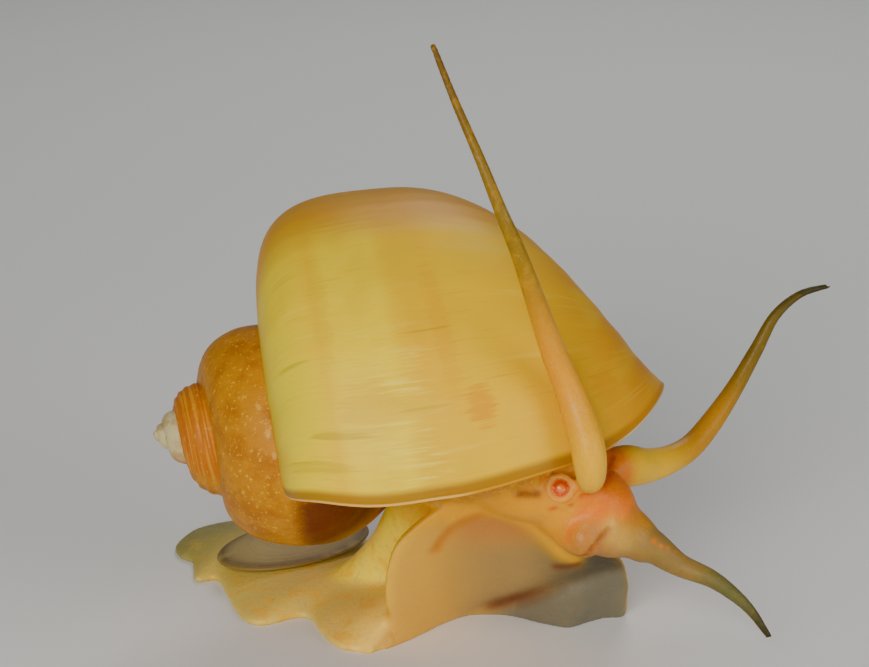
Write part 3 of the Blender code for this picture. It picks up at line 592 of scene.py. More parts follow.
# circles along a smooth path, closed by round ends
def tubeRings(path, widths, rows=90, size=40):
    line, radius = pathCircles(path, widths, rows, 3)
    tangent = unit(np.gradient(line, axis=0))
    turn = np.linspace(0.12, math.pi / 2, 6)[:-1, None]
    line = np.vstack([line[0] - tangent[0] * radius[0] * np.cos(turn), line,
                      line[-1] + tangent[-1] * radius[-1] * np.cos(turn[::-1])])
    radius = np.concatenate([radius[0] * np.sin(turn[:, 0]), radius, radius[-1] * np.sin(turn[::-1, 0])])
    tangent = np.vstack([np.tile(tangent[0], (5, 1)), tangent, np.tile(tangent[-1], (5, 1))])
    side = unit(np.cross(tangent, (0.31, 0.55, 0.77)))     # any direction that no path follows
    over = np.cross(tangent, side)
    angle = circle(size)[None, :, None]
    return line[:, None] + radius[:, None, None] * (np.cos(angle) * side[:, None]
                                                    + np.sin(angle) * over[:, None])


shellPaint = {
    # display colours by place from the suture to the base, as the last turn shows them; the darker stops
    # towards the base are partly painted shade, where the turn faces away from the light
    "bands": ((0.00, (0.76, 0.60, 0.02)), (0.06, (0.90, 0.78, 0.06)), (0.20, (0.94, 0.83, 0.06)),
              (0.31, (0.95, 0.80, 0.02)), (0.35, (0.94, 0.76, 0.00)), (0.385, (0.95, 0.81, 0.03)),
              (0.475, (0.96, 0.82, 0.05)), (0.487, (0.94, 0.76, 0.00)), (0.496, (0.93, 0.71, 0.00)),
              (0.525, (0.93, 0.72, 0.00)), (0.545, (0.93, 0.74, 0.00)), (0.66, (0.91, 0.69, 0.00)),
              (0.78, (0.85, 0.58, 0.00)), (0.92, (0.74, 0.46, 0.00))),
    # display colour of the edge by 0.5 + 0.02 x, with x in millimetres from the origin
    "lip": ((0.0, (0.93, 0.70, 0.36)), (0.41, (0.94, 0.72, 0.34)), (0.455, (0.84, 0.58, 0.03)),
            (0.70, (0.80, 0.52, 0.03)), (0.74, (0.82, 0.76, 0.60)), (1.0, (0.82, 0.76, 0.60))),
    "gold": (0.90, 0.73, 0.0), "deep": (0.84, 0.57, 0.0), "olive": (0.62, 0.52, 0.02),
    "orange": (0.88, 0.57, 0.0), "lime": (0.86, 0.79, 0.10), "pale": (0.98, 0.87, 0.32),
    "brown": (0.60, 0.38, 0.0), "second": (0.77, 0.51, 0.0), "secondLow": (0.63, 0.35, 0.0),
    "fleck": (0.97, 0.76, 0.22), "chip": (0.95, 0.80, 0.40), "third": (0.75, 0.42, 0.0),
    "cord": (0.91, 0.65, 0.08), "apex": (0.80, 0.74, 0.54), "inside": (0.60, 0.32, 0.02),
    "dark": (0.38, 0.12, 0.02),
}
shellTurns = {
    # ages in turns, 0 at the lip: where the last turn deepens, older turns start, lines end and the painted
    # highlight fades
    "deep": (0.160, 0.225), "second": (0.70, 0.80), "third": (1.88, 1.94), "top": (2.75, 2.95),
    "edge": (0.0006, 0.0016), "line": (0.0045, 0.010), "lineFade": (0.010, 0.045),
    "paintedHighlight": (0.07, 0.12), "mouth": (0.76, 0.84, 0.93, 0.965), "worn": (0.75, 0.9),
}
shellMarks = {
    # age in turns and place of a stain, its reach in both, strength
    "gold": ((0.058, 0.43, 0.020, 0.06, 0.85), (0.125, 0.36, 0.040, 0.025, 0.5),
             (0.15, 0.50, 0.05, 0.012, 0.5)),
    "deep": ((0.040, 0.73, 0.014, 0.025, 0.6), (0.215, 0.52, 0.028, 0.16, 0.5)),
    "orange": ((0.047, 0.545, 0.013, 0.018, 0.7), (0.10, 0.52, 0.05, 0.012, 0.25)),
    "lime": ((0.068, 0.22, 0.035, 0.13, 0.4),),
    "olive": ((0.022, 0.27, 0.006, 0.10, 0.32), (0.088, 0.23, 0.0016, 0.06, 0.35),
              (0.041, 0.35, 0.0022, 0.07, 0.42)),
    "brown": ((0.098, 0.515, 0.0010, 0.024, 0.28), (0.062, 0.575, 0.0008, 0.03, 0.22),
              (0.052, 0.50, 0.0008, 0.02, 0.2)),
    "chip": ((1.042, 0.42, 0.007, 0.012, 0.4), (1.078, 0.40, 0.006, 0.010, 0.35),
             (1.012, 0.43, 0.005, 0.010, 0.35), (2.00, 0.40, 0.03, 0.14, 0.6)),
}


# stains of one colour, each an oval on the age and place grid; rough moves their edges
def addStains(m, base, age, across, rough, name):
    for ageAt, placeAt, reachAge, reachPlace, strength in shellMarks[name]:
        x = (age - ageAt) * (1 / reachAge)
        y = (across - placeAt) * (1 / reachPlace)
        oval = 1 - (x * x + y * y + rough).step(0.25, 1.5)
        base = m.mix(oval * strength, base, shellPaint[name])
    return base


def shellMaterial():
    m = Material("shell_gloss", {"Roughness": 0.4, "Subsurface Weight": 0.08, "Subsurface Scale": 0.001,
                                 "Subsurface Radius": (1.0, 0.5, 0.1), "Coat Weight": 0.03,
                                 "Coat Roughness": 0.2, "IOR": 1.5, "Specular IOR Level": 0.16})
    age, across, _ = m.axes(m.node("ShaderNodeUVMap", {"uv_map": "growth"}))
    point = m.point()
    x = m.axes(point)[0]
    paint, turns = shellPaint, shellTurns
    base = m.ramp(across, paint["bands"])
    # streaks with the lip, long across the turn and short along it
    streak = m.noise(m.join(age * 90, x * 0.05), 1.0, 4.0, 0.65)
    fine = m.noise(m.join(age * 420, x * 0.16), 1.0)
    patch = m.noise(m.join(age * 9, x * 0.09), 1.0, 3.0, 0.55)
    base = m.mix(patch.step(0.50, 0.66) * 0.6, base, paint["gold"])
    base = m.mix(age.step(*turns["deep"]) * (0.6 + streak * 0.5), base, paint["deep"])
    base = m.mix(streak.step(0.56, 0.70) * 0.35, base, paint["gold"])
    base = m.mix((1 - fine.step(0.30, 0.42)) * 0.16, base, paint["olive"])
    # painted highlight: pale streaks in a band across the last turn near the lip stand for the light's soft
    # reflection there
    paintedHighlight = fine.step(0.52, 0.64) * across.window(0.40, 0.475, 0.49, 0.505)
    base = m.mix(paintedHighlight * (1 - age.step(*turns["paintedHighlight"])) * 0.6, base, paint["pale"])
    base = m.mix((1 - streak.step(0.32, 0.45)) * 0.25, base, paint["pale"])
    rough = (streak - 0.5) * 4.0 + (fine - 0.5) * 4.0
    for name in ("gold", "deep", "orange", "lime", "olive", "brown"):
        base = addStains(m, base, age, across, rough, name)
    # darker towards the edge, most of all at its far end; that far end's darkening is partly painted shade,
    # where the turn faces away from the light
    base = m.mix((1 - age.step(*turns["line"])) * 0.85, base, paint["brown"])
    base = m.mix((1 - age.step(*turns["lineFade"])) * across.step(0.64, 0.80) * 0.5, base, paint["deep"])
    lip = m.ramp(x * 0.02 + 0.5, paint["lip"])
    base = m.mix(1 - age.step(*turns["edge"]), base, lip)
    # second turn: brown gold with pale flecks where it is worn
    coarse = m.noise(point, 0.35)
    flecks = m.noise(point, 2.4, 4.0, 0.7)
    second = m.mix(coarse.step(0.40, 0.66) * 0.6, paint["second"], paint["secondLow"])
    second = m.mix(flecks.step(0.585, 0.64) * 0.6, second, paint["fleck"])
    second = addStains(m, second, age, across, (flecks - 0.5) * 9.0, "chip")
    base = m.mix(age.step(*turns["second"]), base, second)
    cords = m.noise(m.join(age * 3, across * 34), 1.0, 2.0, 0.5)
    third = m.mix(cords.step(0.50, 0.62) * 0.55, paint["third"], paint["cord"])
    third = m.mix(flecks.step(0.60, 0.68) * 0.4, third, paint["chip"])
    base = m.mix(age.step(*turns["third"]), base, third)
    top = m.mix(coarse.step(0.50, 0.60) * 0.4, paint["apex"], paint["brown"])
    base = m.mix(age.step(*turns["top"]), base, top)
    # painted shade, partly the turn's own darker colour: the turn before is dark where the mouth opens on
    # it, under the lip
    mouthShade = age.window(*turns["mouth"]) * across.step(0.43, 0.51)
    base = m.mix(mouthShade * 0.9, base, paint["dark"])
    inner = m.mix(across, paint["inside"], paint["dark"])
    edge = (1 - (0 - age).step(2.004, 2.016)) * (1 - across.step(0.1, 0.5))
    inner = m.mix(edge, inner, lip)
    base = m.mix((0 - age).step(1.5, 1.9), base, inner)
    m.feed("Base Color", base)
    m.feed("Roughness", 0.36 + fine * 0.16)
    worn = age.step(*turns["worn"]) * flecks
    m.feed("Normal", m.bump(fine * 0.3 + streak * 0.15 + worn * 0.8, 0.00014, 0.6))
    return m.data


print("shell")
shellGloss = shellMaterial()
finish(makeShell(), shellGloss, "shell_gold", "shell")
finish(makePillar(), shellGloss, "shell_gold", "shell")

# mantle: the tissue that fills the shell's mouth behind its lip

mantle = {
    "front": 0.157, "back": 0.99,                # angles behind the lip
    "wall": 1.25, "parietal": 0.95,              # gap to the shell's outside
    "collar": 0.030, "collarAt": 0.9, "collarWidth": 0.06,     # the edge swells forward
    "dip": 0.05, "dipEdge": (0.5, 0.95),         # the middle lies back
    "paint": ((0.0, (0.34, 0.13, 0.04)), (0.5, (0.44, 0.19, 0.05)), (0.82, (0.60, 0.32, 0.05)),
              (1.0, (0.72, 0.44, 0.08))),
}


# front: drawn in by share from middle to edge; then rings back along the wall
def makeMantle():
    share = np.concatenate([[0.04, 0.15, 0.3, 0.45, 0.6], np.linspace(0.7, 0.98, 12)])
    swell = np.exp(-((share - mantle["collarAt"]) / mantle["collarWidth"]) ** 2) * mantle["collar"]
    depth = mantle["front"] + mantle["dip"] * (1 - between(*mantle["dipEdge"], share)) - swell
    rings = [mouthRing(d, mantle["wall"], mantle["parietal"], s) for d, s in zip(depth, share)]
    behind = np.linspace(mantle["front"] + 0.01, mantle["back"], 16)
    rings += [mouthRing(d, mantle["wall"], mantle["parietal"]) for d in behind]
    rings = np.array(rings)
    points, tris = closeRings(rings)
    placeOf = np.repeat(np.concatenate([share, behind * 0 + 1.0]), rings.shape[1])
    return meshPiece("mantle_fine", points, [tris], None, {"place": np.append(placeOf, (0.0, 1.0))})


def mantleMaterial():
    m = Material("mantle_wet", {"Roughness": 0.4, "Subsurface Weight": 0.2, "Subsurface Scale": 0.001,
                                "Subsurface Radius": (1.0, 0.4, 0.2), "Specular IOR Level": 0.4})
    base = m.ramp(m.attribute("place"), mantle["paint"])
    point = m.point()
    spots = m.noise(point, 1.2)
    grain = m.noise(point, 4.0)
    base = m.mix(spots.step(0.56, 0.64) * 0.6, base, (0.66, 0.38, 0.05))
    base = m.mix((1 - grain.step(0.35, 0.5)) * 0.4, base, (0.22, 0.07, 0.03))
    m.feed("Base Color", base)
    m.feed("Roughness", 0.32 + grain * 0.2)
    m.feed("Normal", m.bump(grain * 0.6 + spots * 0.6, 0.0003, 0.6))
    return m.data


finish(makeMantle(), mantleMaterial(), "mantle_dark", "mantle")

# flesh: closed forms worked out on grids, joined into one skin

foot = {
    # S runs from the tail to the front, L to the animal's left
    "tail": (-27.3, 19.2), "turn": math.radians(-35), "seam": 33.6,
    "right": ((0.0, -0.6), (1.0, -2.6), (2.8, -3.9), (4.8, -4.3), (7.0, -6.8), (8.5, -8.0), (9.8, -6.5),
              (12.2, -8.1), (16.3, -11.5), (19.5, -13.4), (21.4, -12.8), (22.8, -9.6), (24.4, -9.1),
              (27.6, -11.5), (30.9, -13.1), (33.6, -12.6)),
    "left": ((0.0, 4.5), (2.0, 7.4), (6.0, 9.5), (12.0, 10.6), (22.0, 10.4), (33.6, 9.6)),
    "height": ((0.0, 1.0), (4.0, 1.6), (10.0, 2.2), (20.0, 2.4), (28.0, 2.8), (33.6, 4.6)),
    "edge": 0.7, "edgeRound": 0.3, "domePower": 2.2, "lean": 0.35,     # section of the rear
}
flap = {
    # the raised front: rim of the sole, fold where it leaves the floor, far margin
    "rim": ((-4.0, -9.2, 0.9), (-4.9, -9.4, 4.6), (-4.8, -9.8, 8.2), (-3.6, -10.2, 11.6), (0.0, -10.4, 15.0),
            (3.0, -10.4, 16.4), (6.8, -10.4, 16.0), (10.6, -9.2, 14.4), (13.6, -8.2, 12.0),
            (16.8, -6.8, 9.6), (18.9, -5.2, 7.2), (19.7, -3.4, 3.8)),
    "fold": ((-6.0, -10.0), (-4.6, -9.4), (-2.9, -7.8), (-1.0, -5.6), (1.0, -3.1), (3.2, -1.2), (5.6, -0.8),
             (8.2, -1.3), (11.2, -3.2), (13.7, -4.1), (15.9, -2.6), (17.6, -1.6), (19.2, -1.5)),
    "far": ((4.7, 9.4), (6.2, 9.6), (7.8, 9.6), (9.4, 9.4), (11.0, 8.8), (12.8, 8.0),
            (14.4, 7.0), (15.8, 5.6), (17.2, 4.0), (18.4, 2.2), (19.2, 0.6), (19.7, -1.0)),
    # the crease across the sole: x, height above the floor, depth
    "crease": ((3.0, 0.0, 0.0), (4.5, 0.3, 0.8), (6.7, 1.1, 1.6), (9.1, 2.4, 1.6), (11.3, 4.0, 1.1),
               (13.5, 5.7, 0.7), (16.7, 6.8, 0.7), (19.0, 7.0, 0.2)),
    "creaseReach": (0.8, 1.8),                   # below and above the crease
    "belly": (-1.6, -0.1),                       # the sole bends towards the viewer, and down by share
    "edge": (0.1, 0.15, 0.7), "back": (0.1, 1.0, 0.35),        # offsets from the far and the near margin
    # height of the back: start, rim's height that counts, share of the rise, most by the rim, least, fall
    "backHeight": (4.2, 11.0, 0.6, 0.8, 3.6, 0.55),
    "hump": (0.45, 0.55, 1.5),                   # shares of near and far margin, and height over the back
    "steps": (44, 24),                           # points across the sole and across the floor
    "soleEnd": 1.53,                             # where the back starts, in lengths of the sole's section
}
stalk = (
    # height, middle in x and y, reach in x and y
    (2.2, -1.5, 4.6, 9.5, 4.6), (4.5, -0.6, 3.8, 8.0, 4.8), (8.0, 0.6, 1.6, 7.0, 5.2),
    (12.0, 1.8, -1.4, 6.8, 5.4), (16.0, 3.4, -4.8, 7.8, 5.6), (19.0, 5.2, -8.0, 9.2, 6.2),
    (23.0, 6.0, -9.4, 9.6, 6.4),
)
head = {
    # middle, reach, turn and tilt of each swelling
    "neck": ((9.8, -9.2, 18.0), (6.8, 5.0, 3.9), -0.15, 0.0),
    "brow": ((14.4, -9.2, 15.7), (5.8, 4.5, 4.3), -0.45, -0.1),
    "snout": ((16.8, -10.2, 13.7), (4.0, 3.6, 3.1), -0.3, -0.3),
    "nearBulge": ((12.7, -12.2, 18.2), (2.9, 2.2, 2.0), -0.3, 0.0),
    "farBulge": ((15.9, -3.4, 17.4), (2.6, 2.2, 2.0), 0.3, 0.0),
}
limbs = {
    # path and widths from root to tip, and the share of its length where it blends into the head
    "near": (((14.9, -12.4, 19.2), (14.9, -15.0, 20.0), (14.8, -18.0, 21.2), (14.7, -20.5, 22.15),
              (14.65, -22.1, 23.3), (14.5, -22.7, 25.0), (14.2, -22.4, 26.8), (13.6, -21.6, 28.6),
              (12.9, -21.0, 30.6), (12.1, -20.8, 32.6), (11.0, -21.4, 35.4), (9.2, -24.0, 41.2),
              (7.6, -25.6, 46.1), (5.9, -26.0, 50.3), (4.1, -25.2, 54.7), (1.8, -23.2, 59.7),
              (-0.1, -21.0, 64.1)),
             (2.4, 2.2, 2.05, 2.1, 2.8, 3.25, 3.25, 3.15, 2.9, 2.65, 2.35, 1.9, 1.5, 1.2, 0.95, 0.75,
              0.55), 0.08),
    "far": (((18.0, -4.0, 17.2), (19.4, -2.8, 17.1), (21.4, -0.4, 16.25), (23.9, 2.0, 16.0),
             (26.3, 4.2, 16.6), (28.6, 6.2, 18.6), (31.1, 8.2, 21.7), (33.3, 9.4, 25.4),
             (35.2, 10.2, 28.8), (37.8, 11.2, 30.8), (40.8, 12.0, 31.5)),
            (4.5, 4.4, 3.6, 2.9, 2.55, 2.3, 1.8, 1.45, 1.1, 0.8, 0.5), 0.22),
    "palp": (((17.4, -9.2, 13.2), (18.5, -9.7, 12.95), (19.7, -10.3, 12.6), (20.7, -10.8, 12.0),
              (21.8, -11.2, 11.55), (24.1, -11.8, 10.1), (27.05, -12.6, 9.05), (29.2, -13.2, 7.71),
              (31.05, -13.8, 6.06), (32.87, -14.2, 3.5)),
             (5.8, 5.7, 5.0, 4.1, 3.2, 2.3, 1.8, 1.4, 1.0, 0.55), 0.38),
    "stub": (((14.0, -10.6, 14.3), (14.2, -12.2, 13.9), (14.5, -13.2, 13.6)), (5.8, 5.6, 4.4), 1.0),
}
eyes = {
    # middle, radius, direction it looks in, and the node it stands for
    "right": ((12.1, -14.2, 19.2), 1.15, (0.05, -0.96, 0.25), "eye_right"),
    "left": ((15.4, -1.7, 18.9), 1.0, (0.2, 0.95, 0.3), "eye_left"),
}
skin = {
    "voxel": 0.00025, "smooth": 5,               # metres, and rounds of smoothing for the whole
    "flat": 0.06,                                # what is lower lies on the floor
    # middle, reach and rounds of the places that flow together, and the slope at their edge
    "headJoint": ((13.5, -9.0, 16.0), (9.5, 7.5, 6.5), 40, (0.8, 1.15)),
    "stalkJoint": ((-2.0, 3.0, 4.5), (14.0, 9.0, 5.0), 60, (0.75, 1.1)),
    "eyeClear": (1.6, 2.8), "floorClear": (1.2, 2.2),          # millimetres kept from that
    # middle and radius of the pits where the rim and the crease start, rounds, edge
    "pits": (((-5.2, -9.4, 1.2), 2.0), ((6.4, -0.6, 0.7), 1.2)), "pitRounds": 60, "pitEdge": 1.5,
    "limbRounds": 20,
}


def footPoint(s, l, z):
    c, q = math.cos(foot["turn"]), math.sin(foot["turn"])
    s, l, z = np.broadcast_arrays(s, l, z)
    return np.stack([foot["tail"][0] + s * c - l * q, foot["tail"][1] + s * q + l * c, z], -1)


def alongTable(table, s):
    dense = smoothPath(table, 300)
    return np.interp(s, dense[:, 0], dense[:, 1])


# sections across the foot: flat sole, thin round margins, and a back 1 - |2t - 1|^power high
def rearRings():
    s = np.concatenate([[0.0, 0.5], np.linspace(1.0, foot["seam"] + 0.8, 110)])[:, None]
    right, left, height = (alongTable(foot[k], s) for k in ("right", "left", "height"))
    edge, bulge = foot["edge"], foot["edgeRound"]
    right = right + edge * (s == 0)
    left = left - edge * (s == 0)
    t = np.linspace(0, 1, 50)[None, :]
    sole = footPoint(s, right + (left - right) * t, 0.0)
    q = np.linspace(0, math.pi, 6)[None, 1:-1]
    leftEdge = footPoint(s, left + bulge * np.sin(q), edge * (1 - np.cos(q)) / 2)
    rightEdge = footPoint(s, right - bulge * np.sin(q), edge * (1 + np.cos(q)) / 2)
    t = t[:, ::-1]
    dome = (1 - np.abs(2 * t - 1) ** foot["domePower"]) * (1 + foot["lean"] * (0.5 - t))
    back = footPoint(s, right + (left - right) * t, edge + (height - edge) * dome)
    return np.concatenate([sole, leftEdge, back, rightEdge], 1)


# height and depth of the crease at x
def creaseAt(x):
    marks = np.array(flap["crease"]).T
    return np.interp(x, marks[0], marks[1]), np.interp(x, marks[0], marks[2])


# how far the sole falls back: depth * exp(-((z - height) / reach)^2), softer above the crease
def creaseDepth(x, z):
    height, depth = creaseAt(x)
    below, above = flap["creaseReach"]
    reach = np.where(z > height, above, below)
    return depth * np.exp(-((z - height) / reach) ** 2) * np.clip(z / 0.6, 0, 1)


# (1 - q)^2 a + 2 q (1 - q) b + q^2 c, for each row of a, b and c
def arcsThrough(a, b, c, q):
    return (1 - q) ** 2 * a[:, None] + 2 * q * (1 - q) * b[:, None] + q * q * c[:, None]


# sections of the lifted front: curve from rim to fold, flat sole, then a curve back over to the rim
def frontRings(count=120):
    rim = smoothPath(flap["rim"], count)
    fold = np.column_stack([smoothPath(flap["fold"], count), np.zeros(count)])
    far = np.column_stack([smoothPath(flap["far"], count), np.zeros(count)])
    t = np.linspace(0, 1, count)
    swell = np.sin(math.pi * t)
    out, down = flap["belly"]
    middle = (rim + fold) / 2 + np.stack([t * 0, out * swell, down * rim[:, 2] * swell], 1)
    across, under = flap["steps"]
    q = np.linspace(0, 1, across)[None, :, None]
    arc = arcsThrough(rim, middle, fold, q)
    arc[..., 1] += creaseDepth(arc[..., 0], arc[..., 2]) * smoothStep(q[..., 0] * 4)
    flat = fold[:, None] + (far - fold)[:, None] * np.linspace(0, 1, under)[None, 1:, None]
    edge = far + np.array(flap["edge"])
    ahead, behind, up = flap["back"]
    back = rim + np.stack([t * 0 + ahead, t * 0 + behind, up * smoothStep(t * 6)], 1)
    low, top, rise, share, least, fall = flap["backHeight"]
    height = low + (np.minimum(rim[:, 2], top) - low) * smoothStep(t * 4) * rise
    height = np.minimum(height, np.maximum(rim[:, 2] * share, least)) * (1 - fall * t ** 3)
    near, away, above = flap["hump"]
    hump = back * near + edge * away
    hump[:, 2] = height + above
    return np.concatenate([arc, flat, arcsThrough(edge, hump, back, q)], 1)


# ellipses at each height
def stalkRings():
    z, x, y, reachX, reachY = smoothPath(stalk, 60).T
    angle = circle(72)
    return np.stack(np.broadcast_arrays(x[:, None] + reachX[:, None] * np.cos(angle),
                                        y[:, None] + reachY[:, None] * np.sin(angle), z[:, None]), -1)


# middle - ahead cos u + sin u (left cos a + up sin a), each times its reach
def ellipsoidRings(middle, reach, turn=0.0, tilt=0.0, rows=40, size=56):
    ct, st, cp, sp = math.cos(turn), math.sin(turn), math.cos(tilt), math.sin(tilt)
    ahead = np.array((ct * cp, st * cp, sp))
    left = np.array((-st, ct, 0.0))
    up = np.cross(ahead, left)
    u = np.linspace(0.02, math.pi - 0.02, rows)[:, None, None]
    angle = circle(size)[None, :, None]
    return (np.array(middle) - ahead * reach[0] * np.cos(u)
            + np.sin(u) * (np.cos(angle) * left * reach[1] + np.sin(angle) * up * reach[2]))


# directions beside and above one that looks ahead
def framed(ahead):
    ahead = np.array(ahead) / np.linalg.norm(ahead)
    side = np.cross(ahead, (0, 0, 1.0))
    side /= np.linalg.norm(side)
    return ahead, side, np.cross(side, ahead)


# low ring of skin around an eye: a torus, by shares of the eye's radius
def eyeCollar(middle, radius, direction, thickness=0.36, forward=0.42, around=48, size=16):
    ahead, side, up = framed(direction)
    a, b = circle(around)[:, None, None], circle(size)[None, :, None]
    out = np.cos(a) * side + np.sin(a) * up
    thick = thickness * radius
    rings = (np.array(middle) + ahead * (radius * forward + thick * np.sin(b))
             + out * (radius + thick * np.cos(b)))
    points = rings.reshape(-1, 3)
    quads = gridFaces(around + 1, size, True) % len(points)
    return points, outwardTris(points, quads, quads[:0, :3])


def fleshForms():
    forms = {"rear": rearRings(), "front": frontRings(), "stalk": stalkRings()}
    for name, (middle, reach, turn, tilt) in head.items():
        forms[name] = ellipsoidRings(middle, reach, turn, tilt)
    for name, (path, widths, blendEnd) in limbs.items():
        forms[name] = tubeRings(path, widths, 150 if name == "near" else 90)
    return forms


def joinForms(forms):
    pieces = [closeRings(rings) for rings in forms.values()]
    pieces += [eyeCollar(middle, radius, ahead) for middle, radius, ahead, node in eyes.values()]
    starts = np.cumsum([0] + [len(p) for p, f in pieces])
    return (np.concatenate([p for p, f in pieces]),
            np.concatenate([f + start for (p, f), start in zip(pieces, starts)]))


def meshArrays(mesh):
    points = np.empty(len(mesh.vertices) * 3, np.float32)
    mesh.vertices.foreach_get("co", points)
    edges = np.empty(len(mesh.edges) * 2, np.int32)
    mesh.edges.foreach_get("vertices", edges)
    return points.reshape(-1, 3).astype(float) / mm + origin, edges.reshape(-1, 2)


# each round moves a value towards the mean of its neighbours by share and weight
def smoothed(values, edges, rounds, share=0.5, weight=1.0):
    count = len(values)
    links = np.maximum(np.bincount(edges.ravel(), minlength=count).astype(float), 1)
    flat = values.ndim == 1
    values = values[:, None] if flat else values
    weight = (share * weight * np.ones(count))[:, None]
    for _ in range(rounds):
        mean = np.stack([np.bincount(edges[:, 0], values[edges[:, 1], k], count)
                         + np.bincount(edges[:, 1], values[edges[:, 0], k], count)
                         for k in range(values.shape[1])], 1) / links[:, None]
        values = values + (mean - values) * weight
    return values[:, 0] if flat else values


# puts the points near a limb back on its round surface, fading in from the root
def ontoLimb(points, path, widths, blendEnd):
    line, radius = pathCircles(path, widths, 400, skin["limbRounds"])
    share = np.linspace(0, 1, 400)
    near = inBox(points, line, 3.5)
    index, distance = nearest(points[near], line)
    blend = between(blendEnd * 0.45, blendEnd, share[index]) * (distance < radius[index] * 1.5 + 0.3)
    away = unit(points[near] - line[index], 1e-9)
    target = line[index] + away * radius[index][:, None]
    out = points.copy()
    out[near] += (target - points[near]) * blend[:, None]
    along = np.full(len(points), -1.0)
    along[near] = np.where(distance < radius[index] * 1.4 + 0.35, share[index], -1.0)
    return out, along


def movePoints(mesh, points):
    mesh.vertices.foreach_set("co", place(points).astype(np.float32).ravel())
    mesh.update()


# unit normals of a mesh's points
def pointNormals(mesh, points):
    movePoints(mesh, points)
    normals = np.empty(len(points) * 3, np.float32)
    mesh.vertex_normals.foreach_get("vector", normals)
    return normals.reshape(-1, 3).astype(float)


details = {
    # path, width, depth, colour and its strength: what the eye picks out on the head and the sole
    "groove": (((0.15, -8.9, 10.5), (0.54, -9.0, 11.4), (1.24, -9.1, 12.4), (2.12, -9.2, 13.4),
                (3.7, -9.4, 14.3), (5.06, -10.2, 15.2)), 0.60, 0.16, "groove", 0.6),
    "rimBand": (((1.7, -9.9, 14.4), (3.3, -9.9, 15.1), (5.0, -9.9, 15.4), (7.2, -9.9, 15.0),
                 (9.4, -9.2, 13.5), (10.7, -8.5, 12.1), (11.8, -8.0, 10.8), (12.8, -7.6, 9.7),
                 (14.0, -7.2, 9.0)),
                0.95, -0.12, "rim", 0.85),
    # painted shadow: a short second crease near the lobe, darkened with the crease's shadow tint and pressed
    # in
    "smudge": (((12.2, -7.3, 8.0), (13.3, -7.15, 8.0), (14.3, -7.05, 8.2)), 0.45, 0.10, "creaseDark", 0.7),
    "pale": (((17.4, -13.7, 13.9), (18.6, -13.3, 12.9)), 1.5, 0.0, "pale", 0.6),
    "slit": (((8.2, -13.93, 18.39), (8.57, -13.98, 18.41), (9.14, -14.04, 18.43), (9.9, -14.12, 18.47)),
             0.42, 0.0, "slit", 0.75),
    # the crease's red orange colour and its painted shadow under the near feeler's base, where it meets the
    # head; pressed in
    "feelerFold": (((14.36, -14.24, 18.2), (15.05, -13.99, 18.31), (16.6, -11.95, 18.88),
                    (16.97, -10.55, 19.18), (17.35, -5.65, 18.39), (17.57, -5.02, 18.9)),
                   0.40, 0.22, "redOrange", 0.75),
    "lobeFold": (((16.87, -13.83, 14.71), (16.57, -14.03, 14.27), (16.07, -14.47, 13.71),
                  (15.38, -14.91, 13.06), (14.64, -14.5, 12.05)), 0.38, 0.26, "fold", 0.7),
    "mouth": (((13.69, -14.0, 11.95), (14.64, -14.5, 12.05)), 0.32, 0.22, "brown", 0.7),
    "lobeEdge": (((12.87, -14.35, 13.77), (13.25, -14.21, 14.97), (13.93, -13.94, 15.9),
                  (15.09, -13.77, 16.77), (16.06, -13.55, 17.0)), 0.60, 0.10, "crown", 0.6),
    # painted highlight: a pale spot on the top of a raised bump
    "bump": (((17.16, -13.67, 15.17),), 0.75, -0.30, "bumpHighlight", 0.7),
}
spots = {
    # middle, width and strength
    "redOrange": (((11.68, -13.91, 16.93), 0.28, 0.8), ((13.22, -14.14, 17.33), 0.28, 0.8),
                  ((11.3, -13.87, 16.81), 0.25, 0.7)),
    "crown": (((21.48, -12.37, 12.87), 0.32, 0.8), ((22.17, -12.48, 12.39), 0.26, 0.8),
              ((22.87, -12.36, 12.13), 0.24, 0.7), ((23.67, -12.23, 11.65), 0.22, 0.6),
              ((24.48, -12.2, 11.11), 0.20, 0.5)),
}
for tint, rows in spots.items():
    for number, (middle, width, strength) in enumerate(rows):
        details[tint + str(number)] = ((middle,), width, 0.0, tint, strength)


# 0 to 1 near a detail's path: exp(-(distance / width)^2)
def nearDetail(points, path, width):
    line = smoothPath(path, 60) if len(path) > 1 else np.array(path, float)
    near = inBox(points, line, width * 3)
    share = np.zeros(len(points))
    if len(near):
        share[near] = np.exp(-(nearest(points[near], line)[1] / width) ** 2)
    return share


